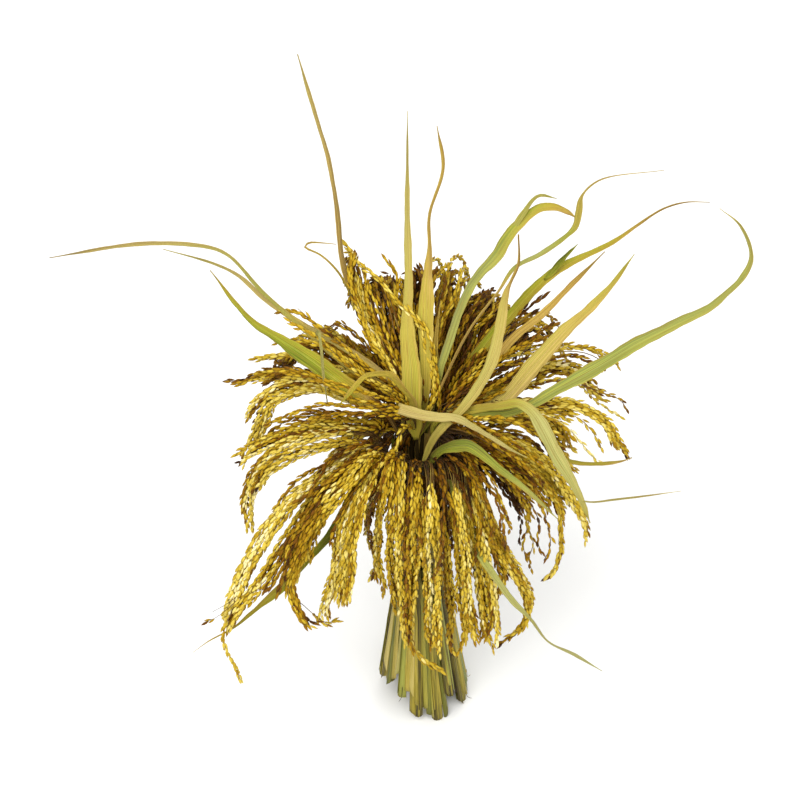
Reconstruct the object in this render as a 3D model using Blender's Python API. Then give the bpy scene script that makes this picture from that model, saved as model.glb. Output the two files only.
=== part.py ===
"""Rice plant clump: a cut bunch of ripe rice stalks, bound at the waist and standing on its cut ends.

Every stalk carries one drooping ear. Leaves rise from the neck of the bunch and fall outwards.
The origin is on the floor in the middle of the cut ends, +Z is up and the front is -Y.
Sizes in the tables below are millimetres and degrees; the model itself is built in metres.
An azimuth of 0 is the front, 90 the right, 180 the back and -90 the left.
"""

import math
import random
from typing import NamedTuple

import bmesh
import bpy
from mathutils import Vector

MM = 0.001
GAP = 0.3

# Heights above the floor
WAIST_HEIGHT = 205.0
NECK_HEIGHT = 315.0

FOOT_DIAMETER = 11.0
WAIST_DIAMETER = 5.2
TOP_DIAMETER = 2.6
JOINT_HEIGHT = 96.0
JOINT_SWELL = 1.14
UPRIGHT_FOOT = 3.0


class Ring(NamedTuple):
    """A ring of stalks: how far out they stand at the foot, waist and neck, and how tall they are."""

    foot: float
    waist: float
    neck: float
    top: float


CENTRE = Ring(foot=0.0, waist=0.0, neck=3.0, top=314.0)
INNER = Ring(foot=19.5, waist=6.8, neck=15.0, top=310.0)
OUTER = Ring(foot=38.0, waist=13.3, neck=29.0, top=300.0)


class Ear(NamedTuple):
    """An ear: its ring, its azimuth where it starts, where it bends over, its tip and its half width."""

    ring: Ring
    start: float
    crest: tuple[float, float]
    tip: tuple[float, float, float]
    half_width: float


# A crest is a distance out and a height, and a tip an azimuth, a distance out and a height.
EARS = (
    Ear(CENTRE, -98, (96, 338), (-96, 146, 248), 13),
    Ear(INNER, -148, (112, 402), (-144, 158, 394), 15),
    Ear(INNER, -118, (110, 354), (-111, 166, 304), 14),
    Ear(INNER, 50, (64, 340), (50, 108, 150), 13),
    Ear(INNER, 72, (84, 342), (75, 142, 222), 13),
    Ear(INNER, 91, (106, 350), (90, 175, 277), 13),
    Ear(INNER, 110, (110, 366), (107, 178, 300), 13),
    Ear(INNER, 168, (96, 396), (166, 146, 310), 15),
    Ear(OUTER, -172, (92, 380), (-175, 136, 290), 14),
    Ear(OUTER, -138, (100, 356), (-130, 150, 306), 13),
    Ear(OUTER, -86, (78, 318), (-87, 138, 212), 14),
    Ear(OUTER, -62, (66, 320), (-54, 194, 176), 15),
    Ear(OUTER, -38, (56, 320), (-36, 122, 178), 16),
    Ear(OUTER, -14, (50, 318), (-13, 80, 178), 13),
    Ear(OUTER, 6, (50, 318), (6, 86, 136), 14),
    Ear(OUTER, 25, (52, 318), (24, 95, 150), 13),
    Ear(OUTER, 43, (54, 320), (40, 106, 152), 12),
    Ear(OUTER, 64, (60, 322), (64, 126, 208), 12),
    Ear(OUTER, 83, (58, 318), (84, 100, 160), 10),
    Ear(OUTER, 102, (74, 330), (102, 147, 238), 12),
    Ear(OUTER, 130, (104, 364), (130, 160, 300), 14),
    Ear(OUTER, 152, (98, 370), (149, 148, 292), 14),
)
EAR_BARE = 5.0
EAR_FULL = 34.0
EAR_STALK_HALF = 1.3
EAR_FLATNESS = 0.6
EAR_FLUTE = 0.8
EAR_LUMPS = (0.9, 1.0)
EAR_SIDES = 8
EAR_STATIONS = 14
EAR_TIP_LEAN = 15.0

# The view that the leaves' places are given in: an eye in front of the bunch, this far above level,
# aimed at a point from this distance.
EYE_ELEVATION = 40.0
EYE_DISTANCE = 1500.0
EYE_AIM = (-16.0, 0.0, 346.0)
NECK = (0.0, 0.0, NECK_HEIGHT)


class Leaf(NamedTuple):
    """A leaf: the stalk it leaves, at which height and on which side, or none if it only rests on others;
    its width, how far along it is widest, how fast it narrows, how it rolls away from facing the eye at
    its base and its tip, and the places it passes: how far right of the neck and above it the eye sees
    each, and how far behind the neck each is."""

    root: tuple[int, float, float] | None
    width: float
    widest_at: float
    narrowing: float
    roll: tuple[float, float]
    places: tuple[tuple[float, float, float], ...]


LEAVES = {
    "leaf_tall_back": Leaf(
        (1, 306, 30), 5, 0.2, 0.7, (40, 60),
        ((-36, 80, 26), (-58, 134, 60), (-66, 172, 84), (-73, 216, 108), (-98, 300, 136)),
    ),
    "leaf_far_left": Leaf(
        (2, 304, 20), 8, 0.2, 0.8, (10, 50),
        ((-20, 27, 6), (-58, 52, 2), (-96, 84, 14), (-126, 110, 26), (-158, 143, 38), (-188, 150, 48),
         (-232, 150, 56), (-300, 139, 62)),
    ),
    "leaf_left_upper": Leaf(
        (1, 306, -20), 9, 0.25, 0.8, (10, 30),
        ((-22, 38, 8), (-64, 68, 22), (-100, 90, 46), (-131, 108, 64), (-166, 130, 82), (-216, 149, 98)),
    ),
    "leaf_left_green": Leaf(
        (2, 296, 0), 13, 0.35, 1.1, (0, 60),
        ((-32, 18, -10), (-60, 35, -8), (-85, 54, -4), (-115, 74, 2), (-135, 87, 8), (-146, 98, 12),
         (-155, 118, 22)),
    ),
    "leaf_broad": Leaf(
        (0, 306, 0), 17, 0.25, 1.9, (0, 20),
        ((-6, 20, 2), (-8, 48, 12), (-10, 81, 28), (-9, 121, 50), (-10, 168, 74), (-10, 220, 96),
         (-10, 256, 112)),
    ),
    "leaf_kinked": Leaf(
        (7, 304, 0), 13, 0.4, 1.8, (10, 30),
        ((5, 40, 14), (5, 72, 26), (6, 113, 50), (8, 146, 74), (8, 174, 88), (19, 211, 108), (14, 246, 122)),
    ),
    "leaf_folded_over": Leaf(
        (7, 300, 80), 11, 0.5, 0.7, (10, 20),
        ((17, 50, 16), (30, 100, 46), (46, 122, 60), (66, 145, 74), (82, 170, 84), (98, 178, 90),
         (127, 172, 96)),
    ),
    "leaf_zigzag": Leaf(
        (0, 310, 90), 7, 0.3, 0.8, (20, 60),
        ((40, 80, 18), (64, 112, 30), (76, 133, 38), (98, 141, 42), (126, 161, 46), (134, 192, 46),
         (152, 204, 50), (198, 210, 56)),
    ),
    "leaf_crossing": Leaf(
        (14, 294, -150), 13, 0.45, 1.2, (0, 40),
        ((9, -11, -21), (20, 1, -24), (29, 10, -20), (45, 30, -12), (54, 41, -6), (64, 75, 6),
         (69, 112, 18), (80, 155, 34)),
    ),
    "leaf_right_long": Leaf(
        (0, 304, 150), 12, 0.3, 1.0, (10, 50),
        ((32, 48, 18), (50, 76, 32), (82, 104, 44), (123, 133, 54), (152, 147, 60), (198, 180, 68),
         (235, 184, 74)),
    ),
    "leaf_right_tan": Leaf(
        (6, 304, -70), 15, 0.4, 1.0, (10, 10),
        ((20, 17, 4), (52, 28, -6), (90, 55, 8), (121, 82, 24), (152, 110, 38), (175, 143, 54)),
    ),
    "leaf_looping": Leaf(
        (5, 300, -100), 12, 0.4, 0.9, (10, 60),
        ((12, 6, 0), (24, 12, -4), (44, 13, -18), (72, 13, -32), (90, 21, -24), (111, 35, -12), (152, 62, 0),
         (193, 82, 6), (234, 98, 10), (262, 118, 14), (270, 140, 18), (258, 168, 26), (240, 180, 32)),
    ),
    "leaf_right_drooping": Leaf(
        (4, 304, -110), 10, 0.5, 0.7, (0, 30),
        ((11, 3, -4), (21, 10, -8), (34, 14, -12), (50, 18, -20), (65, 18, -32), (84, 20, -42), (93, 11, -48),
         (100, 0, -52), (108, -12, -56), (119, -32, -62), (136, -74, -70)),
    ),
    "leaf_front_green": Leaf(
        (14, 290, 150), 10, 0.4, 0.9, (10, 40),
        ((14, -18, -34), (24, -16, -44), (36, -13, -54), (56, -27, -74), (85, -48, -96), (113, -74, -104)),
    ),
    "leaf_torn": Leaf(
        None, 10, 0.0, 0.8, (0, 10),
        ((-18, 17, -14), (0, 12, -20), (16, 10.5, -23), (29, 8.5, -26), (40, 3, -35), (60, -9, -54),
         (75, -17, -64), (87, -23, -72)),
    ),
}
DRY_LEAVES = (
    "leaf_tall_back", "leaf_left_upper", "leaf_kinked", "leaf_crossing", "leaf_right_tan", "leaf_torn",
)
LEAF_COLLAR_HALF = 1.2
LEAF_THICKNESS = 0.9
LEAF_FOLD = 0.16
LEAF_STATIONS = 17

TIE_HEIGHT = 12.0
TIE_THICKNESS = 3.0
TIE_CORDS = 3
TIE_STEPS = 24
KNOT_SIZE = (8.0, 5.0, 7.0)
KNOT_AZIMUTH = -150.0

# Each material's linear colour and its roughness
FINISHES = {
    "stalk": ((0.33, 0.31, 0.07), 0.6),
    "ear": ((0.55, 0.34, 0.04), 0.62),
    "leaf_green": ((0.36, 0.42, 0.07), 0.5),
    "leaf_dry": ((0.60, 0.48, 0.14), 0.55),
    "tie": ((0.55, 0.42, 0.16), 0.7),
}


def start_empty_scene():
    """Removes every object of the scene that the script was started in."""
    for old in list(bpy.data.objects):
        bpy.data.objects.remove(old)


def material(name):
    """The material of this name from FINISHES, made the first time that it is asked for."""
    found = bpy.data.materials.get(name)
    if found:
        return found
    made = bpy.data.materials.new(name)
    made.use_nodes = True
    colour, roughness = FINISHES[name]
    shader = made.node_tree.nodes["Principled BSDF"]
    shader.inputs["Base Color"].default_value = (*colour, 1.0)
    shader.inputs["Roughness"].default_value = roughness
    shader.inputs["Metallic"].default_value = 0.0
    return made


def add_object(name, shape, finish, parent, smooth_angle):
    """An object made from a bmesh in millimetres, under the parent, in metres."""
    mesh = bpy.data.meshes.new(name)
    bmesh.ops.recalc_face_normals(shape, faces=shape.faces)
    bmesh.ops.scale(shape, vec=(MM, MM, MM), verts=shape.verts)
    shape.to_mesh(mesh)
    shape.free()
    mesh.materials.append(material(finish))
    mesh.shade_smooth()
    mesh.set_sharp_from_angle(angle=math.radians(smooth_angle))
    made = bpy.data.objects.new(name, mesh)
    bpy.context.scene.collection.objects.link(made)
    made.parent = parent
    return made


def polar(azimuth, out, height):
    """The place at an azimuth, a distance out from the middle and a height."""
    angle = math.radians(azimuth)
    return Vector((out * math.sin(angle), -out * math.cos(angle), height))


def smoothstep(share):
    """A share from 0 to 1, eased at both ends."""
    share = min(1.0, max(0.0, share))
    return share * share * (3 - 2 * share)


def loft(outlines):
    """A closed body through outlines with the same number of points, and its rings of vertices."""
    shape = bmesh.new()
    cap = shape.faces.new([shape.verts.new(point) for point in outlines[0]])
    rings = [list(cap.verts)]
    for rank, outline in enumerate(outlines[1:]):
        grown = bmesh.ops.extrude_face_region(shape, geom=[cap])["geom"]
        if rank:
            bmesh.ops.delete(shape, geom=[cap], context="FACES_ONLY")
        cap = next(item for item in grown if isinstance(item, bmesh.types.BMFace))
        for vertex, point in zip(cap.verts, outline):
            vertex.co = point
        rings.append(list(cap.verts))
    return shape, rings


def tangents(route):
    """The direction of the route at each of its points."""
    last = len(route) - 1
    return [(route[min(i + 1, last)] - route[max(i - 1, 0)]).normalized() for i in range(last + 1)]


def evenly(route, count):
    """Points along a route of many points, the same distance apart, and how far along each is."""
    lengths = [0.0]
    for before, after in zip(route, route[1:]):
        lengths.append(lengths[-1] + (after - before).length)
    found = []
    at = 0
    for step in range(count):
        wanted = lengths[-1] * step / (count - 1)
        while at < len(route) - 2 and lengths[at + 1] < wanted:
            at += 1
        share = (wanted - lengths[at]) / (lengths[at + 1] - lengths[at])
        found.append((route[at].lerp(route[at + 1], share), wanted))
    return found


def bezier(start, start_handle, end_handle, end, count=40):
    """Points along a cubic curve."""
    found = []
    for step in range(count + 1):
        t = step / count
        s = 1 - t
        found.append(
            start * s**3 + start_handle * (3 * s * s * t) + end_handle * (3 * s * t * t) + end * t**3
        )
    return found


def smooth_curve(points, per_span=12):
    """A smooth curve through every point (centripetal Catmull-Rom)."""
    ends = [points[0] * 2 - points[1], *points, points[-1] * 2 - points[-2]]
    found = []
    for a, b, c, d in zip(ends, ends[1:], ends[2:], ends[3:]):
        t1 = (b - a).length ** 0.5
        t2 = t1 + (c - b).length ** 0.5
        t3 = t2 + (d - c).length ** 0.5
        for step in range(per_span):
            t = t1 + (t2 - t1) * step / per_span
            ab = a.lerp(b, t / t1)
            bc = b.lerp(c, (t - t1) / (t2 - t1))
            cd = c.lerp(d, (t - t2) / (t3 - t2))
            abc = ab.lerp(bc, t / t2)
            bcd = bc.lerp(cd, (t - t1) / (t3 - t1))
            found.append(abc.lerp(bcd, (t - t1) / (t2 - t1)))
    return found + [points[-1]]


def waist_azimuths():
    """The azimuth of each ear's stalk where the bunch is bound: even round each ring, in the ears' order."""
    azimuths = {}
    for ring in (CENTRE, INNER, OUTER):
        members = sorted((ear.start, i) for i, ear in enumerate(EARS) if ear.ring is ring)
        count = len(members)
        first = sum(start for start, _ in members) / count - 180 * (count - 1) / count
        for rank, (_, i) in enumerate(members):
            azimuths[i] = first + 360 * rank / count
    return azimuths


def stalk_at(index, height):
    """The middle of a stalk at a height, and its diameter there."""
    ear, waist_azimuth = EARS[index], WAIST_AZIMUTHS[index]
    ring = ear.ring
    if height <= WAIST_HEIGHT:
        down = 1 - max(height, 0.0) / WAIST_HEIGHT
        diameter = WAIST_DIAMETER + (FOOT_DIAMETER - WAIST_DIAMETER) * down
        return polar(waist_azimuth, ring.waist + (ring.foot - ring.waist) * down**1.1, height), diameter
    up = (height - WAIST_HEIGHT) / (ring.top - WAIST_HEIGHT)
    azimuth = waist_azimuth + (ear.start - waist_azimuth) * smoothstep(up)
    diameter = WAIST_DIAMETER + (TOP_DIAMETER - WAIST_DIAMETER) * up
    return polar(azimuth, ring.waist + (ring.neck - ring.waist) * up * up, height), diameter


def add_stalk(index, parent):
    """A rice stem with one swollen joint, cut flat at the floor and ending where its ear starts."""
    heights = (
        0.0, UPRIGHT_FOOT, JOINT_HEIGHT - 4, JOINT_HEIGHT, JOINT_HEIGHT + 4, 150.0, WAIST_HEIGHT, 245.0, 275.0,
        EARS[index].ring.top,
    )
    foot, _ = stalk_at(index, UPRIGHT_FOOT)
    outlines = []
    for height in heights:
        middle, diameter = stalk_at(index, height)
        if height < UPRIGHT_FOOT:
            middle = Vector((foot.x, foot.y, 0.0))
        if height == JOINT_HEIGHT:
            diameter *= JOINT_SWELL
        outlines.append([middle + polar(60 * side, diameter / 2, 0.0) for side in range(6)])
    shape, _ = loft(outlines)
    add_object(f"stalk_{index + 1:02d}", shape, "stalk", parent, smooth_angle=50)


def ear_route(ear, index):
    """The line of an ear: up from its stalk's top, over its crest and down to its tip."""
    start, _ = stalk_at(index, ear.ring.top)
    below, _ = stalk_at(index, ear.ring.top - 2.0)
    upwards = (start - below).normalized()
    start = start + upwards * GAP
    azimuth, out, height = ear.tip
    tip = polar(azimuth, out, height)
    crest = polar((ear.start + azimuth) / 2, *ear.crest)
    outwards = polar(azimuth, 1.0, 0.0)
    rising = 0.4 * (crest - start).length
    steep = min(rising, 0.8 * (crest.z - start.z))
    falling = 0.45 * (tip - crest).length
    rise = bezier(start, start + upwards * steep, crest - outwards * rising, crest)
    back_up = polar(azimuth, -math.sin(math.radians(EAR_TIP_LEAN)), math.cos(math.radians(EAR_TIP_LEAN)))
    fall = bezier(crest, crest + outwards * falling, tip + back_up * falling, tip)
    return rise + fall[1:]


def ear_half_width(ear, along, length, out, spread):
    """Half the ear's width this far along it, no wider than its share of the ring."""
    if along <= EAR_BARE:
        return EAR_STALK_HALF
    opened = smoothstep((along - EAR_BARE) / EAR_FULL)
    closed = min(1.0, (length - along) / (0.5 * length)) ** 0.6
    grain = EAR_STALK_HALF + (ear.half_width - EAR_STALK_HALF) * opened * closed
    return min(grain, out * spread - GAP)


def layer_spread(ear):
    """How wide an ear may be for its distance out, so that it clears its neighbours in its layer: the
    outer ring's ears, or those of the inner ring and the middle."""
    lower = ear.ring is OUTER
    others = [other.start for other in EARS if (other.ring is OUTER) == lower and other is not ear]
    nearest = min((abs((ear.start - other + 180) % 360 - 180) for other in others), default=90.0)
    return math.sin(math.radians(min(nearest, 60.0) / 2))


def add_ear(index, parent):
    """A drooping ear: branches of grain hanging side by side, as one fluted and lumpy body."""
    ear = EARS[index]
    across = polar(ear.tip[0] + 90, 1.0, 0.0)
    chance = random.Random(index)
    spread = layer_spread(ear)
    stations = evenly(ear_route(ear, index), EAR_STATIONS)
    length = stations[-1][1]
    outlines = []
    for station, ((middle, along), ahead) in enumerate(zip(stations, tangents([p for p, _ in stations]))):
        half = ear_half_width(ear, along, length, middle.xy.length, spread)
        if station == 0:
            ahead = Vector((0.0, 0.0, 1.0))
        side = (across - ahead * across.dot(ahead)).normalized()
        face = side.cross(ahead)
        outline = []
        for corner in range(EAR_SIDES):
            angle = 2 * math.pi * corner / EAR_SIDES
            reach, flat = half, 1.0
            if along > EAR_BARE:
                reach *= (EAR_FLUTE if (corner + station) % 2 else 1.0) * chance.uniform(*EAR_LUMPS)
                flat = EAR_FLATNESS
            outline.append(
                middle + side * (reach * math.cos(angle)) + face * (reach * flat * math.sin(angle))
            )
        outlines.append(outline)
    shape, _ = loft(outlines)
    add_object(f"ear_{index + 1:02d}", shape, "ear", parent, smooth_angle=40)


def eye_axes():
    """The eye's right, up and backward directions."""
    elevation = math.radians(EYE_ELEVATION)
    up = Vector((0.0, math.sin(elevation), math.cos(elevation)))
    back = Vector((0.0, -math.cos(elevation), math.sin(elevation)))
    return Vector((1.0, 0.0, 0.0)), up, back


def seen(right, up, behind):
    """The place a distance behind the neck that the eye sees that far right of it and above it."""
    right_axis, up_axis, back_axis = eye_axes()
    eye = Vector(EYE_AIM) + back_axis * EYE_DISTANCE
    on_plane = Vector(NECK) + right_axis * right + up_axis * up
    ray = on_plane - eye
    return eye + ray * ((behind - eye.y) / ray.y)


def leaf_route(grown):
    """The line of a leaf, from the side of its stalk out to its tip."""
    places = [seen(*place) for place in grown.places]
    if grown.root:
        stalk, height, side = grown.root
        stem, diameter = stalk_at(stalk, height)
        places.insert(0, stem + polar(side, diameter / 2 + LEAF_COLLAR_HALF + GAP, 0.0))
    return smooth_curve(places)


def leaf_half_width(grown, share):
    """Half the blade's width: a narrow collar, the widest part, and a long point."""
    half = grown.width / 2
    if share < grown.widest_at:
        return LEAF_COLLAR_HALF + (half - LEAF_COLLAR_HALF) * smoothstep(share / grown.widest_at)
    left = (1 - share) / (1 - grown.widest_at)
    return half * max(left**grown.narrowing, 0.06)


def split_alike(rings):
    """Splits each quad of a blade from its edge to its midrib, so that its two faces bend alike and never
    cross where the blade twists. Corners 0 and 2 are the blade's edges, 1 and 3 its midrib."""
    for ring, after in zip(rings, rings[1:]):
        for edge in (0, 2):
            for midrib in (1, 3):
                near, far = ring[edge], after[midrib]
                face = next(face for face in near.link_faces if face in far.link_faces)
                bmesh.utils.face_split(face, near, far)


def add_leaf(name, parent):
    """A long thin blade, folded a little along its midrib."""
    grown = LEAVES[name]
    backward = eye_axes()[2]
    stations = evenly(leaf_route(grown), LEAF_STATIONS)
    outlines = []
    for station, ((middle, _), ahead) in enumerate(zip(stations, tangents([p for p, _ in stations]))):
        share = station / (LEAF_STATIONS - 1)
        half = leaf_half_width(grown, share)
        turned = math.radians(grown.roll[0] + (grown.roll[1] - grown.roll[0]) * share)
        flat_side = ahead.cross(backward).normalized()
        side = flat_side * math.cos(turned) + flat_side.cross(ahead) * math.sin(turned)
        face = side.cross(ahead)
        sunk = face * (half * LEAF_FOLD)
        thick = face * (LEAF_THICKNESS / 2 * (1 - 0.6 * share))
        outlines.append(
            [middle - side * half + sunk, middle - thick, middle + side * half + sunk, middle + thick]
        )
    shape, rings = loft(outlines)
    split_alike(rings)
    finish = "leaf_dry" if name in DRY_LEAVES else "leaf_green"
    add_object(name, shape, finish, parent, smooth_angle=60)


def add_tie(parent):
    """The straw band round the waist: cords side by side, with a knot."""
    bottom = WAIST_HEIGHT - TIE_HEIGHT / 2
    stalk, diameter = stalk_at(len(EARS) - 1, bottom)
    inner = (stalk.xy.length + diameter / 2 + GAP) / math.cos(math.pi / TIE_STEPS)
    outer = inner + TIE_THICKNESS
    cord = TIE_HEIGHT / TIE_CORDS
    profile = [(inner, bottom + TIE_HEIGHT), (inner, bottom)]
    for turn in range(TIE_CORDS):
        profile += [(outer, bottom + cord * (turn + 0.25)), (outer, bottom + cord * (turn + 0.75))]
        if turn < TIE_CORDS - 1:
            profile.append((outer - 0.8, bottom + cord * (turn + 1)))
    shape = bmesh.new()
    corners = [shape.verts.new((out, 0.0, height)) for out, height in profile]
    edges = [shape.edges.new(pair) for pair in zip(corners, corners[1:] + corners[:1])]
    bmesh.ops.spin(
        shape, geom=[*corners, *edges], cent=(0, 0, 0), axis=(0, 0, 1),
        angle=2 * math.pi, steps=TIE_STEPS, use_merge=True,
    )
    bmesh.ops.remove_doubles(shape, verts=shape.verts, dist=0.001)
    band = add_object("tie", shape, "tie", parent, smooth_angle=50)
    lump = bmesh.new()
    bmesh.ops.create_icosphere(lump, subdivisions=2, radius=1.0)
    bmesh.ops.scale(lump, vec=KNOT_SIZE, verts=lump.verts)
    bmesh.ops.translate(lump, vec=(0.0, -(outer + KNOT_SIZE[1] * 0.45), WAIST_HEIGHT), verts=lump.verts)
    for vertex in lump.verts:
        vertex.co.y = min(vertex.co.y, -(inner + 0.6))
    knot = add_object("tie_knot", lump, "tie", parent, smooth_angle=50)
    knot.rotation_euler.z = math.radians(KNOT_AZIMUTH)
    knot.hide_render = True
    knot.display_type = "WIRE"
    joined = band.modifiers.new("knot", "BOOLEAN")
    joined.operation = "UNION"
    joined.object = knot


def build():
    """Builds the whole bunch under one empty."""
    start_empty_scene()
    bunch = bpy.data.objects.new("bunch", None)
    bpy.context.scene.collection.objects.link(bunch)
    for index in range(len(EARS)):
        add_stalk(index, bunch)
        add_ear(index, bunch)
    for name in LEAVES:
        add_leaf(name, bunch)
    add_tie(bunch)


WAIST_AZIMUTHS = waist_azimuths()
build()
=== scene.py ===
"""Looks of the rice plant clump: ears built grain by grain, veined leaf blades, sheathed stems, a straw band.

Lengths in the tables are millimetres and angles are degrees; the meshes are made in metres.
An azimuth of 0 is the front, 90 the right, 180 the back and -90 the left.
"""

from __future__ import annotations

import logging
import math
import random
from dataclasses import dataclass, field
from enum import Enum
from functools import lru_cache
from typing import Any, Callable, Sequence

import bmesh
import bpy
import numpy as np
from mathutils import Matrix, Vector


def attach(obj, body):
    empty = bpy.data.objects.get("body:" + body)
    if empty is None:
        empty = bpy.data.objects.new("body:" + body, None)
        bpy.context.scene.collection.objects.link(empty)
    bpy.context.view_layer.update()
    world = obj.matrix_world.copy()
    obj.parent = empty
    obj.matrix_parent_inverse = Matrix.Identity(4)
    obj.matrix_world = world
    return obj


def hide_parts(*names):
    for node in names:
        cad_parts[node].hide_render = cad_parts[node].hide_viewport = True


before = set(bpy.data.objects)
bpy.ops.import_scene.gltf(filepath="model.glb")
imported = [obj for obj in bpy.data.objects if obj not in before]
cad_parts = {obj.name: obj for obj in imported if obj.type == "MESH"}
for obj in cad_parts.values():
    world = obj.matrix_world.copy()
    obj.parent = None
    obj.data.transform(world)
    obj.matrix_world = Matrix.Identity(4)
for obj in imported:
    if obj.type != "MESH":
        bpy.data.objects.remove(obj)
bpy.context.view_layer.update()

LOG = logging.getLogger("rice_bunch")
MM = 0.001
BODY = "root"
TURN = 2 * math.pi

Stops = tuple[tuple[float, float], ...]
Triple = tuple[float, float, float]
Tones = tuple[tuple[float, str], ...]
Shape = bmesh.types.BMesh
Tree = bpy.types.NodeTree
Socket = bpy.types.NodeSocket
Mesh = bpy.types.Mesh
Object = bpy.types.Object
Array = np.ndarray
Triangles = tuple[Array, Array, Array]


# ---- shapes and routes


def polar(azimuth: float, out: float, height: float) -> Vector:
    """The place at an azimuth, a distance out from the middle and a height."""
    angle = math.radians(azimuth)
    return Vector((out * math.sin(angle), -out * math.cos(angle), height))


def azimuth_of(place: Vector) -> float:
    """The azimuth of a place."""
    return math.degrees(math.atan2(place.x, -place.y))


def smoothstep(share: float) -> float:
    """A share from 0 to 1, eased at both ends."""
    share = min(1.0, max(0.0, share))
    return share * share * (3 - 2 * share)


def eased(shares: Array) -> Array:
    """Shares from 0 to 1, each eased at both ends."""
    shares = np.clip(shares, 0, 1)
    return shares * shares * (3 - 2 * shares)


def unit(rows: Array) -> Array:
    """Rows of directions, each made one long."""
    return rows / np.linalg.norm(rows, axis=1, keepdims=True)


def between(stops: Stops, share: float) -> float:
    """The value at a share of the way along.

    Args:
        stops: Pairs of a share and its value, in rising order of the share.
        share: Where the value is wanted.

    Returns:
        The value there, eased from each stop to the next.
    """
    if share <= stops[0][0]:
        return stops[0][1]
    for (low, first), (high, second) in zip(stops, stops[1:]):
        if share <= high:
            return first + (second - first) * smoothstep((share - low) / (high - low))
    return stops[-1][1]


def bezier(start: Vector, after: Vector, before: Vector, end: Vector, count: int = 40) -> list[Vector]:
    """Points along a cubic curve, which has a handle after its start and one before its end.

    Args:
        start: Where it starts.
        after: The first handle.
        before: The second handle.
        end: Where it ends.
        count: How many steps it has.

    Returns:
        The points.
    """
    found = []
    for step in range(count + 1):
        t = step / count
        s = 1 - t
        found.append(start * s**3 + after * (3 * s * s * t) + before * (3 * s * t * t) + end * t**3)
    return found


def smooth_curve(points: Sequence[Vector], per_span: int = 14) -> list[Vector]:
    """A smooth curve through every point (centripetal Catmull-Rom).

    Args:
        points: The points that it passes.
        per_span: How many steps it has from one to the next.

    Returns:
        Points along the curve.
    """
    ends = [points[0] * 2 - points[1], *points, points[-1] * 2 - points[-2]]
    found = []
    for a, b, c, d in zip(ends, ends[1:], ends[2:], ends[3:]):
        t1 = (b - a).length ** 0.5
        t2 = t1 + (c - b).length ** 0.5
        t3 = t2 + (d - c).length ** 0.5
        for step in range(per_span):
            t = t1 + (t2 - t1) * step / per_span
            ab = a.lerp(b, t / t1)
            bc = b.lerp(c, (t - t1) / (t2 - t1))
            cd = c.lerp(d, (t - t2) / (t3 - t2))
            abc = ab.lerp(bc, t / t2)
            bcd = bc.lerp(cd, (t - t1) / (t3 - t1))
            found.append(abc.lerp(bcd, (t - t1) / (t2 - t1)))
    return found + [points[-1]]


class Line:
    """A route read at points that are the same short distance apart."""

    def __init__(self, route: Sequence[Vector], step: float = 1.0) -> None:
        """Reads the route.

        Args:
            route: Points along it, in millimetres.
            step: How far apart the line's own points are, in millimetres.
        """
        raw = np.array([tuple(point) for point in route])
        along = np.concatenate([[0.0], np.cumsum(np.linalg.norm(np.diff(raw, axis=0), axis=1))])
        self.length = float(along[-1])
        count = max(8, round(self.length / step))
        self.along = np.linspace(0.0, self.length, count + 1)
        self.points = np.stack([np.interp(self.along, along, raw[:, axis]) for axis in range(3)], axis=1)
        self.ahead = unit(np.gradient(self.points, axis=0))

    def at(self, share: float) -> tuple[Vector, Vector]:
        """The place a share of the way along, and the direction there.

        Args:
            share: The share, from 0 to 1.

        Returns:
            The place and the direction.
        """
        rank = share * (len(self.points) - 1)
        low = min(int(rank), len(self.points) - 2)
        part = rank - low
        place = self.points[low] * (1 - part) + self.points[low + 1] * part
        ahead = self.ahead[low] * (1 - part) + self.ahead[low + 1] * part
        return Vector(place), Vector(ahead).normalized()


def bent_sheet(
    columns: int,
    rows: int,
    place: Callable[[float, float], Vector],
    shade: Callable[[float, float], float],
    bloom: Stops = ((0.0, 0.0),),
) -> Shape:
    """A flat grid bent to its shape, with its own UV map, and a shade and a bloom at each vertex.

    Args:
        columns: Faces across.
        rows: Faces along.
        place: Gives a vertex's place, in millimetres, from how far across it is (-1 to 1) and along (0 to 1).
        shade: Gives its shade from the same two.
        bloom: How much grey-green bloom it has along its length, from 0 to 1.

    Returns:
        The sheet, in metres.
    """
    shape = bmesh.new()
    shape.loops.layers.uv.new("UVMap")
    bmesh.ops.create_grid(shape, x_segments=columns, y_segments=rows, size=1.0, calc_uvs=True)
    shades, blooms = shape.verts.layers.float.new("shade"), shape.verts.layers.float.new("bloom")
    for vertex in shape.verts:
        across, along = vertex.co.x, (vertex.co.y + 1) / 2
        vertex[shades], vertex[blooms] = shade(across, along), between(bloom, along)
        vertex.co = place(across, along) * MM
    return shape


def walled(shape: Shape, wall: float) -> Shape:
    """A bent sheet, given a wall of some millimetres.

    Args:
        shape: The sheet.
        wall: The wall, in millimetres.

    Returns:
        The same shape.
    """
    bmesh.ops.recalc_face_normals(shape, faces=shape.faces)
    bmesh.ops.solidify(shape, geom=shape.faces[:], thickness=wall * MM)
    return shape


def close_tube(shape: Shape) -> list[bmesh.types.BMFace]:
    """Joins a tube's seam, fills its ends and turns its faces outwards; gives the faces at its ends.

    Args:
        shape: The tube, open at its seam and ends.

    Returns:
        The faces at its ends.
    """
    bmesh.ops.remove_doubles(shape, verts=shape.verts, dist=1e-7)
    rims = [edge for edge in shape.edges if edge.is_boundary]
    ends = bmesh.ops.holes_fill(shape, edges=rims, sides=0)["faces"]
    bmesh.ops.recalc_face_normals(shape, faces=shape.faces)
    return ends


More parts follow.
